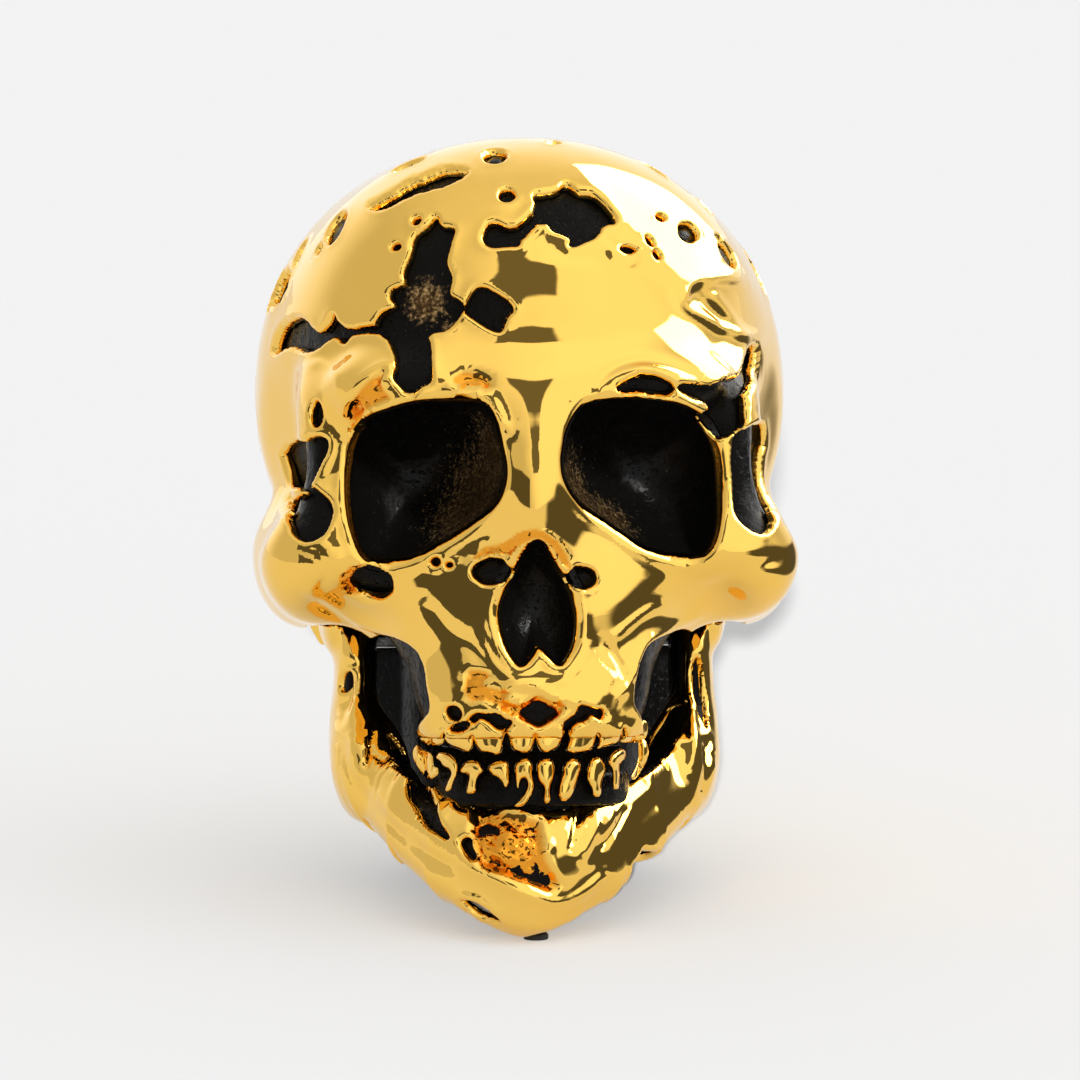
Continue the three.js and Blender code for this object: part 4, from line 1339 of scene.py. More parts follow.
TOP_CENTRE = Window("top_centre", (
    (532, 222), (539, 204), (538, 194), (557, 191), (569, 184), (582, 191), (596, 195), (607, 204),
    (618, 221), (607, 225), (599, 235), (586, 242), (574, 245), (573, 237), (557, 230), (550, 223),
    (538, 223)), 4)
TOP_CENTRE_LOBE = Window("top_centre_lobe", (
    (537, 212), (539, 222), (523, 239), (519, 244), (494, 245), (486, 237), (491, 224), (498, 222),
    (512, 227), (523, 224)), 4)
BROW_BREAK = Window("brow_break", (
    (620, 387), (638, 378), (646, 375), (668, 382), (675, 390), (670, 395), (650, 394), (638, 391),
    (623, 392)), -10)
RIGHT_TEMPLE_UPPER = Window("right_temple_upper", (
    (752, 350), (758, 353), (757, 374), (753, 388), (748, 396), (747, 410), (742, 429), (721, 438),
    (711, 433), (700, 417), (710, 409), (681, 391), (690, 385), (710, 388), (731, 380), (743, 374)),
    -4)
LEFT_TEMPLE_UPPER = Window("left_temple_upper", (
    (270, 449), (277, 447), (289, 444), (297, 440), (304, 439), (311, 436), (321, 435), (328, 440),
    (327, 451), (321, 461), (311, 481), (304, 489), (294, 483), (284, 469), (275, 456)), 0)
LEFT_TEMPLE_LOWER = Window("left_temple_lower", (
    (291, 495), (288, 502), (285, 514), (289, 522), (293, 531), (303, 538), (314, 537), (323, 531),
    (330, 520), (331, 502), (311, 485), (301, 492)), 0)
RIGHT_TEMPLE = Window("right_temple", (
    (735, 439), (747, 431), (765, 427), (775, 449), (769, 459), (766, 481), (767, 493), (774, 508),
    (774, 524), (763, 534), (747, 528), (737, 514), (734, 489), (733, 459)), 0)
LEFT_CHEEK = Window("left_cheek", (
    (353, 577), (359, 568), (374, 566), (389, 575), (390, 590), (376, 598), (359, 595), (352, 586)), -10)
LEFT_GAP = Window("left_gap", (
    (371, 639), (383, 636), (399, 640), (412, 649), (420, 664), (423, 684), (426, 708), (417, 721),
    (413, 731), (410, 741), (411, 751), (414, 764), (421, 775), (412, 775), (399, 769), (386, 751),
    (379, 727), (374, 703), (367, 675), (367, 659), (370, 646)), 12, PLAIN_RIM, 0.08)
RIGHT_GAP = Window("right_gap", (
    (682, 632), (691, 637), (690, 656), (685, 675), (680, 699), (674, 719), (671, 739), (659, 753),
    (648, 766), (646, 754), (645, 740), (642, 719), (635, 703), (637, 672), (642, 656), (650, 644),
    (667, 636)), 12, PLAIN_RIM, 0.08)
JAW_BREAK = Window("jaw_break", (
    (408, 780), (422, 782), (430, 799), (435, 817), (445, 837), (430, 830), (419, 819), (414, 807),
    (407, 794)))
CHIN_BREAK = Window("chin_break", (
    (460, 899), (478, 904), (497, 921), (481, 918), (468, 909)))


SPOTS = (
    Spot("beside_nose_left", 491, 571, 18, 12), Spot("beside_nose_right", 582, 578, 14, 10, -4),
    Spot("pin_left_a", 435, 561, 4, 3), Spot("pin_left_b", 448, 564, 3, 2),
    Spot("crown_left", 412, 163, 17, 6, 22), Spot("crown_middle", 498, 155, 11, 7, 5),
    Spot("side_left_a", 338, 225, 18, 8, 62), Spot("side_left_b", 302, 252, 16, 6, 66),
    Spot("side_left_c", 322, 247, 5, 3, 62), Spot("side_left_low", 316, 412, 12, 6, 90),
    Spot("crown_small", 510, 194, 7, 6), Spot("dot_a", 419, 219, 3.5, 3.5),
    Spot("dot_b", 398, 245, 4, 3), Spot("dot_c", 664, 218, 4, 3), Spot("rim_top", 557, 143, 6, 3),
    Spot("crown_right", 657, 170, 15, 5, -34), Spot("side_right", 708, 208, 9, 4, -46),
    Spot("upper_right", 692, 233, 10, 9, -40), Spot("upper_right_b", 731, 256, 15, 7, -58),
    Spot("upper_right_c", 722, 241, 5, 3, -50), Spot("fold_right", 631, 250, 7, 2.5, -4),
    Spot("pit_right_a", 652, 242, 5, 2.5, -64), Spot("pit_right_b", 659, 256, 4, 2.5, -60),
    Spot("lip_left", 451, 713, 8, 6, -28), Spot("lip_left_low", 457, 727, 10, 4, 18),
)
NOTCH_TIPS = ((443, 732), (471, 734), (504, 728), (533.5, 733), (565, 724), (596, 733), (622, 728))
NOTCH_FOOT_ROW = 746
TOOTH_NOTCHES = tuple(
    Window(f"tooth_notch_{number}", (
        (x - 4, NOTCH_FOOT_ROW), (x - 1.7, top + 5), (x, top), (x + 1.7, top + 5),
        (x + 4, NOTCH_FOOT_ROW)), -20, NOTCH_RIM, 0.03, 2)
    for number, (x, top) in enumerate(NOTCH_TIPS, 1))
LIP_MIDDLE = Window("lip_middle", (
    (466, 720), (475, 714), (485, 715), (496, 715), (503, 720), (509, 722), (506, 727), (497, 729),
    (487, 722), (478, 718), (472, 722)), -20, ragged_mm=0.05)
LIP_RIGHT = Window("lip_right", (
    (577, 712), (580, 707), (586, 708), (596, 711), (600, 711), (603, 714), (601, 718), (598, 719),
    (590, 715), (584, 721), (579, 722), (575, 724), (570, 728), (568, 736), (563, 740), (563, 726),
    (567, 721), (574, 716)), -20, ragged_mm=0.05)
CHIN_FOLD = Window("chin_fold", (
    (473, 829), (474, 820), (483, 816), (490, 821), (493, 829), (487, 827), (482, 828), (478, 831)),
    -20, ragged_mm=0.05)
CHIN_SLIT = Window("chin_slit", (
    (457, 841), (462, 836), (466, 838), (467, 845), (471, 856), (468, 858), (461, 851)), -20,
    ragged_mm=0.05)
CHIN_EYELET = Spot("chin_eyelet", 474, 801, 4, 4, 0, JAW)
LIP_DIAMOND = Window("lip_diamond", (
    (519, 713), (527, 707), (536, 702), (546, 707), (555, 713), (546, 720), (537, 726), (527, 720)),
    -20, ragged_mm=0.05)

BACK_HOLES = (
    Hole("crown_back", (14, 34, 148), (12, 17, 9)), Hole("crown_side", (-27, 30, 137), (7, 13, 9)),
    Hole("back_left", (-24, 58, 104), (10, 9, 17)), Hole("back_link", (-11, 63, 96), (13, 8, 5)),
    Hole("back_middle", (9, 64, 84), (7, 8, 13)), Hole("back_right", (33, 51, 118), (12, 11, 8)),
    Hole("side_left_back", (-49, 25, 98), (9, 15, 7)), Hole("side_left_small", (-46, 38, 84), (8, 5, 6)),
    Hole("side_right_back", (50, 22, 104), (9, 9, 15)), Hole("side_right_low", (48, 33, 82), (9, 12, 5)),
    Hole("side_right_small", (46, 4, 124), (8, 4, 4)), Hole("side_left_top", (-45, 4, 122), (9, 9, 4)),
    Hole("nape", (-6, 58, 66), (13, 9, 4)), Hole("ear_left", (-45, 14, 76), (8, 5, 5)),
    Hole("ear_right", (45, 17, 72), (8, 6, 6)),
)
JAW_BACK_HOLES = (
    Hole("ramus_left", (-37, 3, 38), (6, 3.5, 7), ragged_mm=0.7),
    Hole("ramus_right", (37, 0, 44), (6, 3, 5), ragged_mm=0.7),
    Hole("under_right", (22, -30, 11), (6, 7, 5), ragged_mm=0.7),
)
SKULL_TRIM = Trim("skull_edge", (
    (-FAR, UPPER_EDGE_Z), (PALATE_BACK_Y - 1, UPPER_EDGE_Z), (PALATE_BACK_Y, UNDERSIDE_Z),
    (FAR, UNDERSIDE_Z)), rim=TRIM_RIM)
JAW_TRIM = Trim("jaw_top", ((-FAR, JAW_TOP_Z), (FAR, JAW_TOP_Z)), keep_above=False)
RAMUS_SLITS = (
    Spot("ramus_left", 341, 680, 10, 4, 72, JAW),
    Spot("ramus_right", 701, 694, 34, 6, -79, JAW),
)
JAW_LIP = Window("jaw_lip", (
    (398, 690), (391, 742), (397, 763), (408, 775), (420, 782), (438, 784), (444, 787), (450, 793),
    (456, 793), (462, 789), (468, 788), (474, 789), (481, 785), (486, 778), (487, 786), (480, 796),
    (478, 803),
    (488, 806), (500, 805), (513, 804), (521, 806), (531, 811), (536, 809), (542, 806), (549, 808),
    (559, 806), (563, 808), (571, 801), (581, 802), (588, 797), (594, 794), (600, 793), (608, 790),
    (616, 787), (626, 782), (636, 776), (647, 770), (660, 757), (668, 742), (664, 690)),
    -6, BREAK_RIM, 0.08, 3)

FACE_RELIEF = (
    Stroke(((576, 170), (612, 205), (650, 248), (690, 286)), 1.5, 0.35),
    Stroke(((685, 284), (686, 305), (702, 317), (722, 328), (742, 337), (758, 340)), 1.2, 0.8),
    Stroke(((686, 292), (698, 281), (716, 279), (738, 280), (748, 287)), 1.4, 0.75),
    Stroke(((698, 294), (716, 314), (730, 330)), 1.1, -0.6),
    Stroke(((712, 290), (728, 314), (742, 334)), 1.1, 0.45),
    Stroke(((612, 246), (620, 260), (632, 264), (641, 256)), 1.1, 0.5),
    Stroke(((540, 247), (580, 254), (620, 266), (650, 277), (684, 303)), 2.2, -0.3),
    Dish(((348, 436), (350, 408), (358, 388), (371, 375), (388, 368), (384, 380), (392, 392), (402, 396),
          (388, 402), (368, 412), (356, 426)), 1.1, 1.2),
    Stroke(((356, 398), (372, 382), (392, 378)), 0.8, 0.45),
    Stroke(((364, 404), (378, 392), (396, 398)), 0.8, 0.55),
    Stroke(((343, 432), (346, 402), (362, 378), (384, 364), (394, 368)), 0.9, 0.5),
    Dish(((452, 381), (456, 373), (466, 369), (480, 369), (490, 376), (495, 385), (490, 390), (474, 386),
          (462, 387)), 0.9, 0.9),
    Stroke(((444, 382), (458, 390), (474, 393), (488, 400), (500, 414), (508, 430)), 1.1, 0.7),
    Dish(((470, 558), (482, 546), (504, 540), (520, 530), (540, 528), (557, 540), (568, 556), (572, 572),
          (562, 566), (550, 548), (538, 540), (522, 546), (508, 556), (490, 554), (478, 560)), 0.5, 0.7),
    Dish(((341, 584), (343, 572), (352, 564), (366, 562), (358, 570), (353, 582), (358, 596), (347, 593)),
         0.5, 0.6),
    Stroke(((596, 402), (640, 397), (672, 402), (700, 414)), 1.1, 0.5),
    Stroke(((584, 412), (600, 388), (620, 374), (644, 369), (668, 374), (690, 382)), 1.2, 0.6),
    Stroke(((574, 434), (588, 402), (610, 374), (640, 362), (672, 366), (704, 382)), 1.1, -0.5),
    Dish(((462, 676), (466, 668), (480, 667), (492, 674), (484, 682), (500, 688), (512, 692), (506, 700),
          (520, 702), (536, 693), (550, 699), (566, 704), (560, 716), (540, 728), (520, 722), (500, 711),
          (484, 703), (466, 702), (460, 690)), 0.9, 0.9),
    Stroke(((464, 684), (482, 688), (498, 698), (512, 698)), 0.8, 0.6),
    Stroke(((500, 690), (516, 686), (536, 688), (556, 697), (574, 702)), 0.7, 0.55),
    Stroke(((428, 731), (470, 733), (505, 732), (538, 732), (566, 730), (600, 731), (636, 727)), 1.0, 0.4),
    Stroke(((580, 722), (592, 720), (606, 724), (612, 730)), 1.0, 0.55),
    Stroke(((612, 700), (622, 690), (634, 672), (648, 644), (672, 628), (704, 612)), 1.1, 0.6),
    Stroke(((606, 640), (612, 652), (622, 668), (628, 684)), 0.8, -0.7),
    Stroke(((604, 640), (622, 636), (650, 612), (700, 588), (760, 568), (792, 546)), 3.0, -0.7),
    Stroke(((612, 642), (640, 618), (664, 604)), 1.2, 0.5),
    Stroke(((596, 640), (604, 660), (618, 676), (612, 698), (604, 712)), 1.0, -0.4),
    Stroke(((480, 640), (494, 664), (520, 682), (556, 682), (580, 664), (590, 636)), 1.0, 0.35),
    Stroke(((497, 556), (512, 541), (536, 533), (556, 541), (572, 560)), 0.8, 0.5),
    Stroke(((300, 584), (330, 600), (362, 622), (392, 632), (410, 640)), 1.1, 0.5),
    Stroke(((320, 602), (352, 624), (392, 642)), 0.8, -0.3),
    Stroke(((424, 600), (446, 628), (470, 646), (486, 668)), 1.6, -0.3),
    Stroke(((304, 368), (322, 362), (340, 378), (338, 398)), 0.9, 0.35),
    Stroke(((304, 546), (318, 556), (326, 572), (318, 590)), 1.0, -0.35),
    Stroke(((700, 596), (740, 580), (780, 560)), 1.2, -0.35),
)
JAW_RELIEF = (
    Stroke(((328, 752), (338, 786), (366, 826), (404, 862), (440, 886), (476, 908)), 1.7, 0.8),
    Stroke(((338, 740), (350, 778), (382, 818), (420, 850), (452, 868)), 1.1, -0.45),
    Dish(((466, 812), (477, 797), (500, 806), (522, 811), (540, 816), (546, 834), (548, 856), (562, 884),
          (548, 896), (522, 886), (496, 876), (474, 866), (463, 840)), 1.7, 1.9),
    Stroke(((506, 838), (516, 842)), 1.5, 1.2),
    Stroke(((498, 816), (504, 832), (498, 848), (504, 858)), 1.2, 0.8),
    Stroke(((478, 840), (492, 852), (506, 862)), 1.1, 0.7),
    Stroke(((486, 864), (508, 870), (530, 880), (548, 880)), 0.9, -0.6),
    Stroke(((520, 860), (536, 856), (546, 846)), 1.0, 0.7),
    Stroke(((462, 864), (492, 878), (522, 893), (552, 903), (580, 893), (604, 874)), 1.1, 0.85),
    Stroke(((590, 866), (624, 832), (656, 802), (680, 768), (690, 736)), 3.4, -1.0),
    Stroke(((476, 908), (520, 922), (560, 920), (604, 896), (652, 850), (694, 800), (712, 756)), 1.7, 0.8),
    Stroke(((579, 806), (574, 826), (571, 848)), 0.8, -0.7),
    Stroke(((588, 800), (594, 826), (580, 858)), 0.9, 0.4),
    Stroke(((626, 806), (616, 828), (602, 846)), 0.8, -0.4),
    Stroke(((372, 726), (369, 748), (363, 766)), 0.6, -0.8),
    Stroke(((370, 748), (378, 757), (384, 756)), 0.5, -0.6),
    Stroke(((358, 770), (370, 773), (386, 770)), 0.9, 0.35),
    Stroke(((350, 734), (353, 750)), 0.8, 0.35),
    Stroke(((350, 668), (346, 690), (335, 714)), 1.5, -1.5),
    Stroke(((356, 660), (357, 684), (352, 712)), 0.9, 0.45),
    Stroke(((697, 664), (700, 690), (706, 724)), 1.4, -1.3),
    Stroke(((707, 742), (705, 768), (698, 796)), 0.7, -0.9),
    Stroke(((690, 700), (694, 740), (690, 772)), 0.9, 0.5),
)


@dataclass
class GoldSkull:
    """The gold skin of the face, the crown and the back of the head."""

    openings: tuple = (
        LEFT_EYE, RIGHT_EYE, NOSE, CROSS, LEFT_ARM, PATCH, UPPER_LEFT, TOP_CENTRE, TOP_CENTRE_LOBE,
        BROW_BREAK, RIGHT_TEMPLE_UPPER, LEFT_TEMPLE_UPPER, LEFT_TEMPLE_LOWER, RIGHT_TEMPLE,
        LEFT_CHEEK, LEFT_GAP, RIGHT_GAP, LIP_DIAMOND, LIP_MIDDLE, LIP_RIGHT, *TOOTH_NOTCHES,
        *SPOTS, *BACK_HOLES, SKULL_TRIM, Pocket())

    def build(self, skin: bpy.types.Mesh) -> None:
        """Builds both halves from the wrapped skin.

        Args:
            skin: The closed skin of the skull's clay.
        """
        sheet = Sheet(SKULL, self.openings, FACE_RELIEF)
        face = keep_side(skin, SEAM_Y - SEAM_HALF_GAP, Keep.BELOW)
        place_piece("gold_face", sheet.build(face), GOLD, Body.SKULL, "gold", "face_shell")
        back = keep_side(skin, SEAM_Y + SEAM_HALF_GAP, Keep.ABOVE)
        rear = Sheet(SKULL, self.openings)
        place_piece("gold_back", rear.build(back), GOLD, Body.SKULL, "gold", "rear_shell")


@dataclass
class Bowl:
    """A glossy black bowl behind an opening of the face."""

    name: str
    node: str
    window: Window
    back_y: float
    worn: Patches
    grow: float = 1.0
    wall: float = 1.4
    under_core: float = 0.3
    shares: tuple[float, ...] = (0.0, 0.14, 0.32, 0.52, 0.7, 0.84, 0.94, 1.0)
    roundness: float = 2.1
    floor_share: float = 0.16
    plug_reach: float = 30.0

    def rings(self) -> list[np.ndarray]:
        """Returns the bowl's rings, from its hidden front edge to its floor."""
        edge = smooth_outline(self.window.corners, 2)
        middle = edge.mean(axis=0)
        arm = edge - middle
        grown = middle + arm * (1 + self.grow * VIEW.pixels_per_mm
                                / np.linalg.norm(arm, axis=1))[:, None]
        front = SKULL.first_hit(grown, CORE_LEVEL - self.under_core)
        centre = SKULL.first_hit(middle[None], 0.0)[0]
        found = []
        for share in self.shares:
            width = max((1 - share ** self.roundness) ** (1 / self.roundness), self.floor_share)
            ring = centre + (front - centre) * width
            ring[:, 1] = front[:, 1] + share * (self.back_y - front[:, 1])
            found.append(ring)
        return found

    def cutter(self, extra: float) -> bpy.types.Mesh:
        """Returns a closed plug that makes room for the bowl in the core."""
        rings = self.rings()
        shape = bmesh.new()
        loop = [shape.verts.new(place) for place in rings[0] - np.array([0, self.plug_reach, 0])]
        shape.faces.new(loop)
        edges = shape.edges[:]
        for ring in rings:
            edges, loop = self._extend(shape, edges, loop, ring, extra)
        shape.faces.new(loop)
        bmesh.ops.recalc_face_normals(shape, faces=shape.faces)
        return to_mesh(shape, "plug")

    @staticmethod
    def _extend(shape: bmesh.types.BMesh, edges: list, loop: list, ring: np.ndarray,
                extra: float = 0.0) -> tuple[list, list]:
        """Extrudes a loop of edges to the next ring.

        Args:
            shape: The bmesh that holds the loop.
            edges: The loop's edges.
            loop: The loop's points, in the ring's order.
            ring: Places of the next ring.
            extra: How far the ring is grown outwards and half as far backwards.

        Returns:
            The new loop's edges and its points.
        """
        made = bmesh.ops.extrude_edge_only(shape, edges=edges)["geom"]
        fresh = [item for item in made if isinstance(item, bmesh.types.BMVert)]
        follow = {edge.other_vert(vert): vert for vert in fresh for edge in vert.link_edges}
        centre = ring.mean(axis=0)
        grown = []
        for start, place in zip(loop, ring):
            arm = (place - centre) * np.array([1, 0, 1])
            outward = arm / max(np.linalg.norm(arm), TINY) * extra
            follow[start].co = place + outward + np.array([0, extra / 2, 0])
            grown.append(follow[start])
        return [item for item in made if isinstance(item, bmesh.types.BMEdge)], grown

    def build(self) -> None:
        """Builds the bowl as a thin wall with a closed floor."""
        rings = self.rings()
        shape = bmesh.new()
        loop = [shape.verts.new(place) for place in rings[0]]
        edges = [shape.edges.new((loop[i - 1], loop[i])) for i in range(len(loop))]
        for ring in rings[1:]:
            edges, loop = self._extend(shape, edges, loop, ring)
        floor = shape.faces.new(loop)
        bmesh.ops.recalc_face_normals(shape, faces=shape.faces)
        if floor.normal.y > 0:
            bmesh.ops.reverse_faces(shape, faces=shape.faces)
        bmesh.ops.poke(shape, faces=[floor])
        mesh = with_modifier(to_mesh(shape, self.name), "SUBSURF", levels=2, render_levels=2)
        mesh = with_modifier(mesh, "SOLIDIFY", thickness=self.wall, offset=-1.0, use_rim=True)
        mark_worn(mesh, self.worn)
        place_piece(self.name, mesh, BLACK_BOWL, Body.SKULL, "black_bowl", self.node, sharp_deg=60)


EYE_BOWLS = (
    Bowl("left_eye_bowl", "eye_cup_left", LEFT_EYE, -21,
         (((-12.5, -33, 83), 10), ((-9, -38, 90), 7.5))),
    Bowl("right_eye_bowl", "eye_cup_right", RIGHT_EYE, -21,
         (((13, -37, 85), 8), ((17, -33, 81), 6.5))),
)
NOSE_BOWL = Bowl("nose_bowl", "nose_cup", NOSE, -38, (((1, -46, 66), 3),))


@dataclass
class BlackCore:
    """The black moulded core under the gold, hollow in the braincase."""

    cavity_centre: Place = (0, 20.5, 104)
    cavity_radii: Place = (40, 35, 38)
    bowl_room: float = 1.6
    boss: float = 1.1
    boss_slope: float = 0.9
    waves: tuple[tuple[float, float], ...] = ((0.12, 6.0), (0.1, 2.9))
    worn: Patches = (((-20, -44, 118.5), 4.6), ((-35, -18, 88), 4), ((40, -20, 88), 6),
                     ((-14, -44, 113), 2.5), ((36, -30, 100), 4))

    def build(self, skin: bpy.types.Mesh) -> None:
        """Builds both halves of the core from the wrapped skin.

        Args:
            skin: The closed skin of the skull's clay.
        """
        mesh = skin.copy()
        points = read_points(mesh)
        pixels = VIEW.pixels(points)
        inside = -np.min([spot.distance(points, pixels) for spot in SPOTS], axis=0)
        level = CORE_LEVEL + self.boss * np.clip(inside / self.boss_slope, 0, 1)
        points = SKULL.settle(points, level, 3)
        normal = SKULL.normals(points)
        coarse, fine = self.waves
        points += normal * (ragged(points, *coarse) + ragged(points[:, ::-1], *fine))[:, None]
        write_points(mesh, points)
        for cutter in self.cutters():
            mesh = cut_with(mesh, cutter)
        for name, node, keep in (("black_core_front", "core_front", Keep.BELOW),
                                 ("black_core_back", "core_rear", Keep.ABOVE)):
            near = SEAM_Y + (SEAM_HALF_GAP if keep is Keep.BELOW else -SEAM_HALF_GAP)
            low = (-FAR, near, -FAR) if keep is Keep.BELOW else (-FAR, -FAR, -FAR)
            high = (FAR, FAR, FAR) if keep is Keep.BELOW else (FAR, near, FAR)
            half = cut_with(mesh.copy(), block(low, high))
            mark_worn(half, self.worn)
            place_piece(name, half, BLACK_CORE, Body.SKULL, "black_core", node)

    def cutters(self) -> list[bpy.types.Mesh]:
        """Returns the closed shapes that are taken out of the core."""
        pocket = Pocket()
        found = [block((-FAR, PALATE_BACK_Y, -FAR), (FAR, FAR, UNDERSIDE_Z)),
                 block((-FAR, -FAR, -FAR), (FAR, FAR, CORE_EDGE_Z))]
        for sign in (-1, 1):
            sides = sorted((sign * pocket.inner_x, sign * pocket.outer_x))
            found.append(block((sides[0], pocket.front_y, 0), (sides[1], pocket.back_y, pocket.roof_z)))
        found += [bowl.cutter(self.bowl_room) for bowl in (*EYE_BOWLS, NOSE_BOWL)]
        shape = bmesh.new()
        add_ball(shape, self.cavity_centre, self.cavity_radii, 4)
        found.append(to_mesh(shape, "cavity"))
        return found


@dataclass
class Arch:
    """The line that a row of teeth stands on, seen from above."""

    half_width: float
    depth: float
    centre_y: float = -27.0
    end_share: float = 0.985

    def depth_at(self, x: np.ndarray, out: float) -> np.ndarray:
        """Gives y on the arch, moved out from it, at each x."""
        across = np.clip(x / (self.half_width + out), -self.end_share, self.end_share)
        return self.centre_y - (self.depth + out) * np.sqrt(1 - across ** 2)


UPPER_ARCH = Arch(19.6, 20.6)
LOWER_ARCH = Arch(20.4, 20.5)

UPPER_TEETH = (
    ((416, 728), (420, 740), (428, 745), (440, 744), (443, 738), (441, 726), (430, 722)),
    ((443, 728), (444, 740), (451, 746), (458, 749), (466, 752), (471, 748), (472, 738), (470, 728)),
    ((471, 728), (474, 744), (480, 752), (487, 753), (495, 755.5), (500, 752), (502, 741),
     (503, 728)),
    ((505, 728), (508, 740), (510, 748), (515, 752), (523, 753.5), (529, 752), (532, 745),
     (533, 728)),
    ((534, 728), (535, 742), (537, 748), (540, 752), (545, 753.5), (552, 751), (557, 747), (562, 738),
     (563, 728)),
    ((567, 728), (568, 736), (566, 745), (564, 750), (567, 753), (575, 754), (587, 752), (592, 747),
     (595, 738), (594, 728)),
    ((596, 728), (597, 736), (598, 743), (595, 750), (605, 747), (616, 743), (622, 734), (621, 726)),
    ((622, 726), (621, 737), (619, 743), (630, 744), (640, 743), (646, 734), (645, 722), (634, 720)),
)
LOWER_TEETH = (
    ((416, 743), (420, 748), (430, 753), (432, 761), (432, 768), (436, 766), (437, 773), (432, 777),
     (428, 779), (421, 773), (415, 765), (411, 755), (412, 747)),
    ((434, 757), (438, 752), (445, 752), (452, 756), (456, 763), (455.5, 774), (452.5, 780), (449, 789),
     (443, 791), (445, 783), (449, 774), (448, 769), (442, 766), (438, 760)),
    ((458, 771), (462, 763), (469, 759), (477, 761), (482, 771), (478, 775), (475, 782), (474, 792),
     (465, 793), (465, 785), (467, 774), (463, 773)),
    ((486, 769), (489, 763), (496, 760), (505, 760), (507, 765), (508, 778), (507, 785), (503, 788),
     (500, 782), (495, 777), (490, 775)),
    ((513, 775), (514, 763), (521, 758), (527, 758), (531, 764), (531, 776), (533, 788), (528, 798),
     (521, 806), (512, 806), (519, 797), (525, 787), (524, 779), (519, 780), (516, 790)),
    ((535, 765), (539, 759), (546, 758), (551, 760), (553, 769), (552.5, 778), (549, 788), (549, 800),
     (544, 804), (541, 799), (542, 788), (536, 780)),
    ((561, 767), (566, 760), (572, 758), (578, 762), (579.5, 769), (576, 781), (570, 796), (561, 802),
     (556, 795), (557, 784), (561, 774)),
    ((586, 769), (589, 760), (594, 757), (599, 758), (603.5, 765), (604, 773), (600, 783), (599, 796),
     (592, 797), (589, 788), (585, 780)),
    ((607, 764), (609, 755), (619, 749), (625, 754), (623, 760), (618, 765), (618, 778), (617, 789),
     (611, 789), (611, 772)),
    ((640, 738), (645, 743), (647, 753), (644, 765), (637, 777), (631, 781), (630, 776), (635, 768),
     (638, 760), (638, 748)),
)


@dataclass
class Tooth:
    """One liquid-looking gold tooth, cast from an outline in the photograph."""

    name: str
    node: str
    corners: Corners
    arch: Arch
    body: Body
    thickness: float = 3.6
    voxel: float = 0.24
    round: float = 1.45
    rim: float = 0.4
    dimple: float = 0.16
    dimple_length: float = 2.9
    guess_y: float = -45.0
    smooth_rounds: int = 6

    def build(self) -> None:
        """Extrudes the outline along the arch and rounds it off."""
        edge = smooth_outline(self.corners, 3)
        depth = np.full(len(edge), self.guess_y)
        for _ in range(4):
            places = VIEW.at_depth(edge, depth)
            depth = depth + self.arch.depth_at(places[:, 0], self.thickness / 2) - places[:, 1]
        shape = cast(VIEW.at_depth(edge, depth), (0, self.thickness, 0))
        bmesh.ops.triangulate(shape, faces=shape.faces)
        bmesh.ops.recalc_face_normals(shape, faces=shape.faces)
        mesh = with_modifier(to_mesh(shape, self.name), "REMESH", mode="VOXEL", voxel_size=self.voxel)
        points = read_points(mesh)
        pixels = VIEW.pixels(points)
        depth = segment_distance(pixels, edge, True) / VIEW.pixels_per_mm
        depth = np.where(inside_outline(pixels, edge), depth, 0)
        middle = self.arch.depth_at(points[:, 0], 0.0)
        side = np.clip((points[:, 1] - middle) / (self.thickness / 2), -1, 1)
        share = np.clip(depth / self.round, 0, 1)
        half = self.rim + self.round * np.sqrt(1 - (1 - share) ** 2)
        half += ragged(points, self.dimple, self.dimple_length) * share
        points[:, 1] = middle + side * half
        write_points(mesh, points)
        shape = from_mesh(mesh)
        smooth_verts(shape, self.smooth_rounds)
        mesh = to_mesh(shape, self.name)
        place_piece(self.name, mesh, GOLD, self.body, "gold", self.node, sharp_deg=80)


@dataclass
class Gum:
    """A black gum that carries a row of teeth."""

    name: str
    node: str
    arch: Arch
    body: Body
    bottom: float
    top: float
    inset: float = 1.6
    width: float = 6.0
    sweep_deg: float = 156.0
    steps: int = 48
    bevel: float = 1.1
    bump: float = 0.22
    bump_length: float = 3.3
    bump_shares: Place = (0.5, 0.8, 0.6)

    def build(self) -> None:
        """Spins a rounded section about the arch's middle and stretches it to the arch."""
        shape = bmesh.new()
        outer = self.arch.half_width - self.inset
        corners = ((outer, self.bottom), (outer, self.top), (outer - self.width, self.top),
                   (outer - self.width, self.bottom))
        start = math.radians(-90 - self.sweep_deg / 2)
        centre = Vector((0, self.arch.centre_y, 0))
        heading = Vector((math.cos(start), math.sin(start), 0))
        verts = [shape.verts.new(centre + heading * reach + Vector((0, 0, height)))
                 for reach, height in corners]
        face = shape.faces.new(verts)
        bmesh.ops.spin(shape, geom=[face], cent=centre, axis=(0, 0, 1), dvec=(0, 0, 0),
                       angle=math.radians(self.sweep_deg), steps=self.steps, use_duplicate=False)
        bmesh.ops.remove_doubles(shape, verts=shape.verts, dist=0.001)
        bmesh.ops.recalc_face_normals(shape, faces=shape.faces)
        bevel_sharp(shape, 60, self.bevel, 4)
        stretch = (self.arch.depth - self.inset) / outer
        bmesh.ops.scale(shape, vec=(1, stretch, 1), space=Matrix.Translation(-centre), verts=shape.verts)
        mesh = to_mesh(shape, self.name)
        points = read_points(mesh)
        points += ragged(points, self.bump, self.bump_length)[:, None] * np.array(self.bump_shares)
        write_points(mesh, points)
        mark_worn(mesh)
        place_piece(self.name, mesh, BLACK_CORE, self.body, "black_core", self.node, sharp_deg=70)


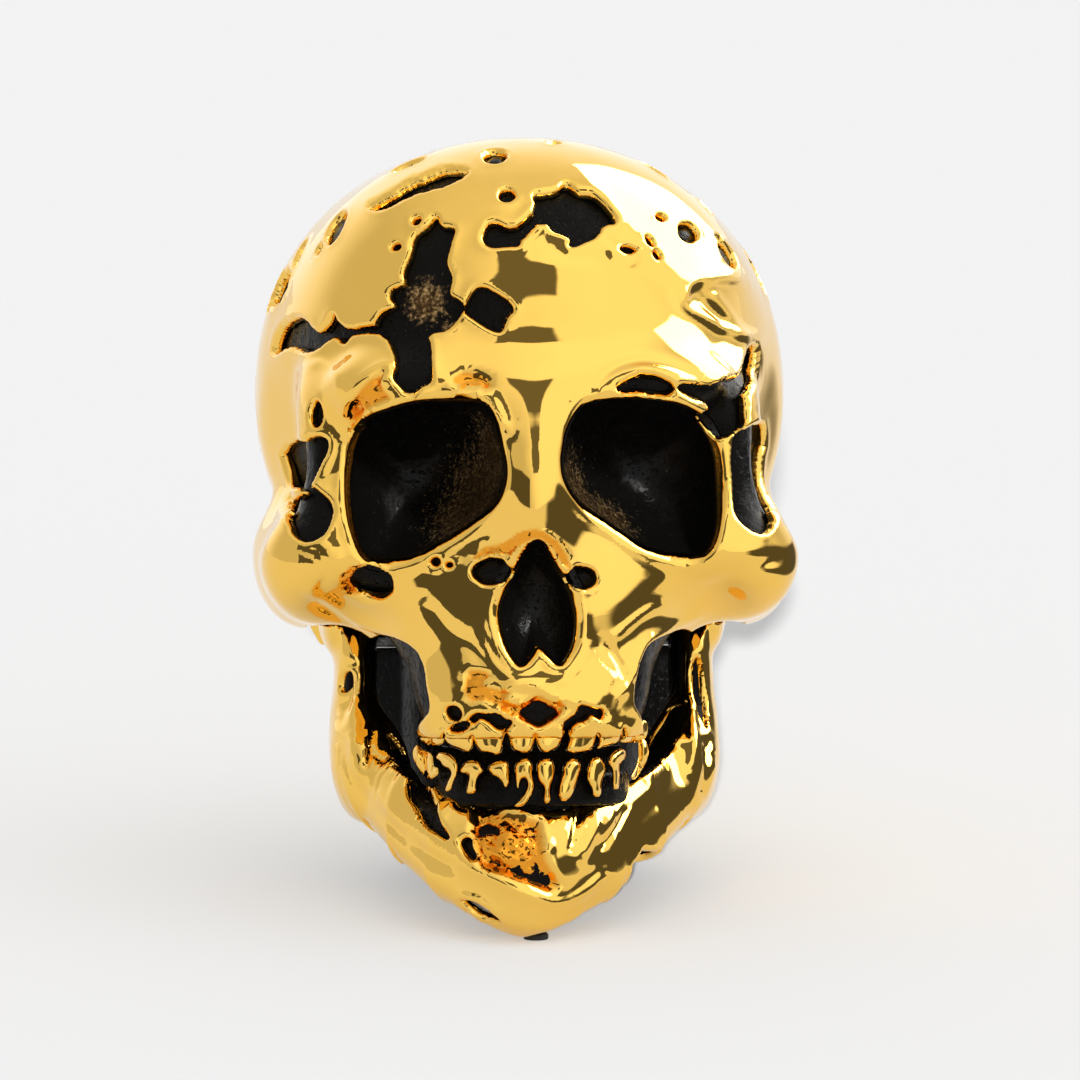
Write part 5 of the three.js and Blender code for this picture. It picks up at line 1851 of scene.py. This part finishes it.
@dataclass
class GoldJaw:
    """The gold skin of the lower jaw and the black core inside it."""

    bush_radius: float = 3.0
    condyle_radius: float = 5.0
    inner_x: float = 28.7
    outer_x: float = 37.3
    tooth_shelf_z: float = 25.0
    shoulder_z: float = 34.0
    core_level: float = -1.8
    ramus_x: float = 32.2
    inner_growth: float = 1.5
    wall: float = 1.5
    voxel: float = 1.9
    wave: tuple[float, float] = (0.12, 4.0)
    shelf_reach: float = 4.6
    bush_spare: float = 5.0
    worn: Patches = (((-24, -34, 25), 4),)

    def build(self) -> None:
        """Builds the jaw's gold skin and its core."""
        skin = Wrap(JAW, voxel=self.voxel).skin()
        openings = (JAW_LIP, JAW_BREAK, CHIN_BREAK, CHIN_FOLD, CHIN_SLIT, CHIN_EYELET, JAW_TRIM,
                    *RAMUS_SLITS, *JAW_BACK_HOLES)
        sheet = Sheet(JAW, openings, JAW_RELIEF, wall=self.wall)
        place_piece("gold_jaw", sheet.build(skin.copy()), GOLD, Body.JAW, "gold", "jaw_shell")
        self._build_core(skin)

    def _build_core(self, skin: bpy.types.Mesh) -> None:
        """Builds the black core with a round end on each hinge."""
        points = JAW.settle(read_points(skin), self.core_level, 3)
        points += JAW.normals(points) * ragged(points, *self.wave)[:, None]
        inward = (np.abs(points[:, 0]) < self.ramus_x) & (points[:, 1] > PALATE_BACK_Y)
        points[inward, 0] *= 1 - self.inner_growth / np.abs(points[inward, 0])
        write_points(skin, points)
        mesh = cut_with(skin, self._tooth_shelf())
        for sign in (-1, 1):
            low, high = sorted((sign * self.inner_x, sign * self.outer_x))
            mesh = cut_with(mesh, self._rod(self.condyle_radius, low, high), "UNION")
            mesh = cut_with(mesh, self._rod(self.bush_radius, low - self.bush_spare,
                                            high + self.bush_spare))
        mark_worn(mesh, self.worn)
        place_piece("black_jaw_core", mesh, BLACK_CORE, Body.JAW, "black_core", "jaw_core")

    def _tooth_shelf(self) -> bpy.types.Mesh:
        """Returns the shape that clears the gum's shelf from the core."""
        profile = ((-FAR, self.tooth_shelf_z),
                   (LOWER_ARCH.centre_y - self.shelf_reach, self.tooth_shelf_z),
                   (PALATE_BACK_Y, self.shoulder_z), (PALATE_BACK_Y, FAR), (-FAR, FAR))
        shape = cast([(-FAR, y, z) for y, z in profile], (2 * FAR, 0, 0))
        bmesh.ops.recalc_face_normals(shape, faces=shape.faces)
        return to_mesh(shape, "shelf")

    def _rod(self, radius: float, low: float, high: float) -> bpy.types.Mesh:
        """Returns a round rod on the hinge's axis."""
        shape = bmesh.new()
        matrix = (Matrix.Translation(((low + high) / 2, STANCE.hinge_y, STANCE.hinge_z))
                  @ Matrix.Rotation(math.pi / 2, 4, "Y"))
        bmesh.ops.create_cone(shape, cap_ends=True, segments=48, radius1=radius, radius2=radius,
                              depth=high - low, matrix=matrix)
        return to_mesh(shape, "rod")


@dataclass
class Neck:
    """The black neck under the skull, its cap and the felt pads."""

    foot_y: float = 20.0
    top_y: float = 15.0
    foot_half: tuple[float, float] = (17.0, 19.0)
    top_half: tuple[float, float] = (23.0, 26.0)
    waist_z: float = 31.0
    wing: float = 1.27
    wing_y: tuple[float, float] = (16.0, 21.0)
    squareness: float = 1.6
    sides: int = 96
    pad_top: float = 1.0
    cap_heights: tuple[float, float] = (1.3, 3.7)
    depths: tuple[float, float] = (21.4, 23.4)
    wave: tuple[float, float] = (0.25, 9.0)
    bevel_deg: float = 50.0
    chin_y: float = -40.8
    chin_half: tuple[float, float] = (2.3, 1.7)

    def floor_z(self, y: float, lift: float) -> float:
        """Gives the upright height of a plane that lies above the floor by lift."""
        matrix = STANCE.matrix().inverted()
        base = matrix @ Vector((0, 0, 0))
        lean = math.tan(math.radians(STANCE.tilt_deg))
        return base.z + (y - base.y) * lean + lift / math.cos(math.radians(STANCE.tilt_deg))

    def _oval(self, centre_y: float, half: tuple[float, float], height: float | None,
              lift: float = 0.0, square: float = 0.0) -> list[Place]:
        """Returns an oval ring.

        Args:
            centre_y: The middle of the ring.
            half: Half the ring's width and half its depth.
            height: Height of a level ring, or None for one along the floor.
            lift: Height above the floor of a ring along it.
            square: How far the back half is squared and widened, from 0 to 1.

        Returns:
            The ring's places.
        """
        ring = []
        for index in range(self.sides):
            turn = math.tau * index / self.sides
            power = 2 / (2 + self.squareness * square * (math.sin(turn) > 0))
            across = math.copysign(abs(math.cos(turn)) ** power, math.cos(turn))
            along = math.copysign(abs(math.sin(turn)) ** power, math.sin(turn))
            y = centre_y + half[1] * along
            share = min(max((y - self.wing_y[0]) / (self.wing_y[1] - self.wing_y[0]), 0), 1)
            wing = 1 + (self.wing - 1) * square * share * share * (3 - 2 * share)
            ring.append((half[0] * across * wing, y,
                         self.floor_z(y, lift) if height is None else height))
        return ring

    def _loft(self, name: str, rings: list, bevel: float) -> bpy.types.Mesh:
        """Extrudes the first ring through the others and rounds its hard edges."""
        shape = bmesh.new()
        loop = [shape.verts.new(place) for place in rings[0]]
        shape.faces.new(loop)
        for ring in rings[1:]:
            fresh = [shape.verts.new(place) for place in ring]
            edges = []
            for verts in (loop, fresh):
                for index in range(len(verts)):
                    pair = (verts[index - 1], verts[index])
                    edges.append(shape.edges.get(pair) or shape.edges.new(pair))
            bmesh.ops.bridge_loops(shape, edges=edges)
            loop = fresh
        shape.faces.new(loop)
        bmesh.ops.recalc_face_normals(shape, faces=shape.faces)
        bevel_sharp(shape, self.bevel_deg, bevel, 3)
        return to_mesh(shape, name)

    def _slab(self, name: str, centre_y: float, half: tuple[float, float],
              heights: tuple[float, float], bevel: float) -> bpy.types.Mesh:
        """Returns an oval slab along the floor, between two heights above it."""
        return self._loft(name, [self._oval(centre_y, half, None, lift) for lift in heights], bevel)

    def build(self) -> None:
        """Builds the neck, the cap and the pads."""
        neck = self._tall_part()
        mark_worn(neck)
        place_piece("black_neck", neck, BLACK_CORE, Body.SKULL, "black_core", "neck")
        cap = self._slab("cap", self.foot_y, self.foot_half, self.cap_heights, 0.5)
        mark_worn(cap)
        place_piece("black_base_cap", cap, BLACK_CORE, Body.SKULL, "black_core", "base_cap")
        pad = self._slab("pad", self.foot_y, self.foot_half, (0.0, self.pad_top), 0.25)
        place_piece("felt_base_pad", pad, FELT, Body.SKULL, "felt", "base_pad")
        chin = self._slab("chin", self.chin_y, self.chin_half, (0.0, self.pad_top), 0.25)
        place_piece("felt_chin_pad", chin, FELT, Body.JAW, "felt", "chin_pad")

    def _tall_part(self) -> bpy.types.Mesh:
        """Returns the neck from its cap up to the underside of the skull."""
        width = self.top_half[0]
        low_half = (self.foot_half[0] + 1, self.foot_half[1] + 0.6)
        mid_half = tuple((foot + top) / 2 for foot, top in zip(self.foot_half, self.top_half))
        mid_y = (self.foot_y + self.top_y) / 2
        neck = self._loft("neck", [
            self._oval(self.foot_y, self.foot_half, None, self.cap_heights[1]),
            self._oval(self.foot_y, low_half, None, 9, 0.15),
            self._oval(mid_y, mid_half, 21.5, 0, 0.6),
            self._oval(self.top_y, (width, self.depths[0]), self.waist_z - 4, 0, 1.0),
            self._oval(self.top_y, (width, self.depths[1]), self.waist_z + 6, 0, 1.0),
            self._oval(self.top_y, self.top_half, UNDERSIDE_Z - 0.3, 0, 1.0)], 0.3)
        points = read_points(neck)
        out = points - np.array([0, self.top_y, 0])
        out[:, 2] = 0
        out /= np.maximum(np.linalg.norm(out, axis=1), TINY)[:, None]
        write_points(neck, points - out * np.abs(ragged(points, *self.wave))[:, None])
        return neck


@dataclass
class Hardware:
    """The hinge pins, bushes and screws, which keep their CAD shapes."""

    def dress(self) -> None:
        """Gives each kept node its finish."""
        for name, node in frame["nodes"].items():
            if name.startswith(("hinge_pin", "neck_screw")):
                self._paint(node, STEEL)
            elif name.startswith("hinge_bush"):
                self._paint(node, NYLON)

    @staticmethod
    def _paint(node: bpy.types.Object, material: bpy.types.Material) -> None:
        """Puts a material on every slot of a node."""
        if not node.data.materials:
            node.data.materials.append(material)
        for slot in node.material_slots:
            slot.material = material


@dataclass(frozen=True)
class Card:
    """A plain studio card that the gold mirrors and the camera doesn't see."""

    name: str
    centre: Place
    size: tuple[float, float]
    brightness: float
    faces: Place = (0.0, 0.0, 0.07)
    softness: float = 0.22

    def build(self) -> None:
        """Makes the card, turned towards the ornament."""
        shape = bmesh.new()
        shape.loops.layers.uv.new("card")
        bmesh.ops.create_grid(shape, x_segments=1, y_segments=1, size=0.5, calc_uvs=True)
        bmesh.ops.scale(shape, vec=(self.size[0], self.size[1], 1), verts=shape.verts)
        facing = (Vector(self.faces) - Vector(self.centre)).to_track_quat("Z", "Y")
        matrix = Matrix.Translation(self.centre) @ facing.to_matrix().to_4x4()
        bmesh.ops.transform(shape, matrix=matrix, verts=shape.verts)
        mesh = to_mesh(shape, self.name)
        made = Shader(self.name)
        across, upward, _ = made.split(made.node("ShaderNodeTexCoord", output="UV"))
        cover = 1.0
        for side in (across, 1 - across, upward, 1 - upward):
            cover = cover * made.between(side, 0.0, self.softness)
        made.set(Base_Color=(0.0, 0.0, 0.0), Roughness=1.0, Specular_IOR_Level=0.0, Alpha=cover,
                 Emission_Color=(1.0, 0.98, 0.94), Emission_Strength=self.brightness)
        mesh.materials.append(made.material)
        card = bpy.data.objects.new(self.name, mesh)
        card.visible_camera = False
        card.visible_diffuse = False
        card.visible_shadow = False
        bpy.context.scene.collection.objects.link(card)


@dataclass(frozen=True)
class Studio:
    """A plain pale floor, cards for the gold to mirror and soft studio light."""

    floor_radius: float = 12.0
    floor_colour: float = 0.54
    sun_energy: float = 11.0
    sun_angle_deg: float = 0.9
    sun_azimuth_deg: float = 3.7
    sun_elevation_deg: float = 11.2
    glint_place: Place = (0.26, -0.5, 0.44)
    glint_aim: Place = (0.02, -0.03, 0.08)
    glint_size: tuple[float, float] = (0.04, 0.07)
    glint_watts: float = 3.2
    cards: tuple[Card, ...] = (
        Card("softbox", (0.774, 0.411, 0.69), (1.54, 0.84), 7.5, softness=0.05),
        Card("front_gap", (0.02, -0.81, 0.66), (0.38, 0.46), 0.17, softness=0.08),
        Card("left_gap", (-0.68, -0.8, 0.25), (0.78, 0.42), 0.1, (0.0, 0.0, 0.1), 0.07),
        Card("right_gap", (0.21, -0.02, 0.04), (0.62, 0.1), 0.1, (0.0, -0.02, 0.04)),
    )

    def build(self) -> None:
        """Makes the floor, the cards, the world and the lamp."""
        floor = self._floor()
        for card in self.cards:
            card.build()
        self._world()
        self._sun(floor)
        self._glint()
        bpy.context.scene.view_settings.view_transform = "Standard"

    def _floor(self) -> bpy.types.Object:
        """Makes and returns a wide pale floor."""
        shape = bmesh.new()
        bmesh.ops.create_circle(shape, cap_ends=True, segments=96, radius=self.floor_radius)
        mesh = to_mesh(shape, "floor")
        made = Shader("floor")
        level = self.floor_colour
        made.set(Base_Color=(level, level, level), Roughness=0.9, Specular_IOR_Level=0.0)
        mesh.materials.append(made.material)
        floor = bpy.data.objects.new("floor", mesh)
        bpy.context.scene.collection.objects.link(floor)
        return floor

    def _world(self) -> None:
        """Makes plain soft light that is brighter from above, ahead and behind."""
        world = bpy.data.worlds.new("studio")
        bpy.context.scene.world = world
        world.use_nodes = True
        made = Nodes(world.node_tree, "BACKGROUND")
        x, y, z = made.split(made.node("ShaderNodeTexCoord", output="Generated"))
        toward_key = x * 0.57 - y * 0.68 + z * 0.47
        level = (0.68 + made.between(toward_key, 0.3, 1.0) * 0.58 + made.between(y, 0.35, 1.0) * 0.5
                 + made.between(z, 0.6, 1.0) * 0.2)
        made.set(Color=(1, 1, 1), Strength=level)

    @staticmethod
    def _light_only(lamp: bpy.types.Object, name: str, lit: list[bpy.types.Object]) -> None:
        """Makes a lamp light only the given objects."""
        group = bpy.data.collections.new(name)
        for item in lit:
            group.objects.link(item)
        lamp.light_linking.receiver_collection = group

    def _glint(self) -> None:
        """Makes the small lamp that glints in the black bowls."""
        data = bpy.data.lights.new("glint", "AREA")
        data.shape = "RECTANGLE"
        data.size, data.size_y = self.glint_size
        data.energy = self.glint_watts
        lamp = bpy.data.objects.new("glint", data)
        lamp.location = self.glint_place
        aim = Vector(self.glint_aim) - Vector(self.glint_place)
        lamp.rotation_euler = aim.to_track_quat("-Z", "Y").to_euler()
        bpy.context.scene.collection.objects.link(lamp)
        self._light_only(lamp, "glossy_black", [piece for piece in bpy.context.scene.objects
                                                if piece.name.endswith("_bowl")])

    def _sun(self, floor: bpy.types.Object) -> None:
        """Makes the low lamp that casts the ornament's soft shadow on the floor."""
        data = bpy.data.lights.new("key", "SUN")
        data.energy = self.sun_energy
        data.angle = math.radians(self.sun_angle_deg)
        lamp = bpy.data.objects.new("key", data)
        side = math.radians(self.sun_azimuth_deg)
        drop = math.radians(self.sun_elevation_deg)
        heading = (math.sin(side) * math.cos(drop), math.cos(side) * math.cos(drop), -math.sin(drop))
        lamp.rotation_euler = Vector(heading).to_track_quat("-Z", "Y").to_euler()
        lamp.visible_glossy = False
        bpy.context.scene.collection.objects.link(lamp)
        self._light_only(lamp, "floor_only", [floor])


def main() -> None:
    """Builds the ornament and its studio."""
    logging.basicConfig(level=logging.INFO, format="%(relativeCreated)6.0f ms  %(message)s")
    VIEW.add_camera()
    skin = Wrap(SKULL).skin()
    LOG.info("skull skin: %d faces", len(skin.polygons))
    GoldSkull().build(skin)
    BlackCore().build(skin)
    for bowl in (*EYE_BOWLS, NOSE_BOWL):
        bowl.build()
    GoldJaw().build()
    Gum("upper_black_gum", "upper_gum", UPPER_ARCH, Body.SKULL, bottom=35.5, top=41.0).build()
    Gum("lower_black_gum", "lower_gum", LOWER_ARCH, Body.JAW, bottom=24.6, top=31.0).build()
    for row, teeth, arch, body in (("upper", UPPER_TEETH, UPPER_ARCH, Body.SKULL),
                                   ("lower", LOWER_TEETH, LOWER_ARCH, Body.JAW)):
        for number, corners in enumerate(teeth, 1):
            name = f"{row}_tooth_{number}"
            Tooth(f"gold_{name}", name, corners, arch, body).build()
    Neck().build()
    Hardware().dress()
    Studio().build()


if __name__ == "__main__":
    main()
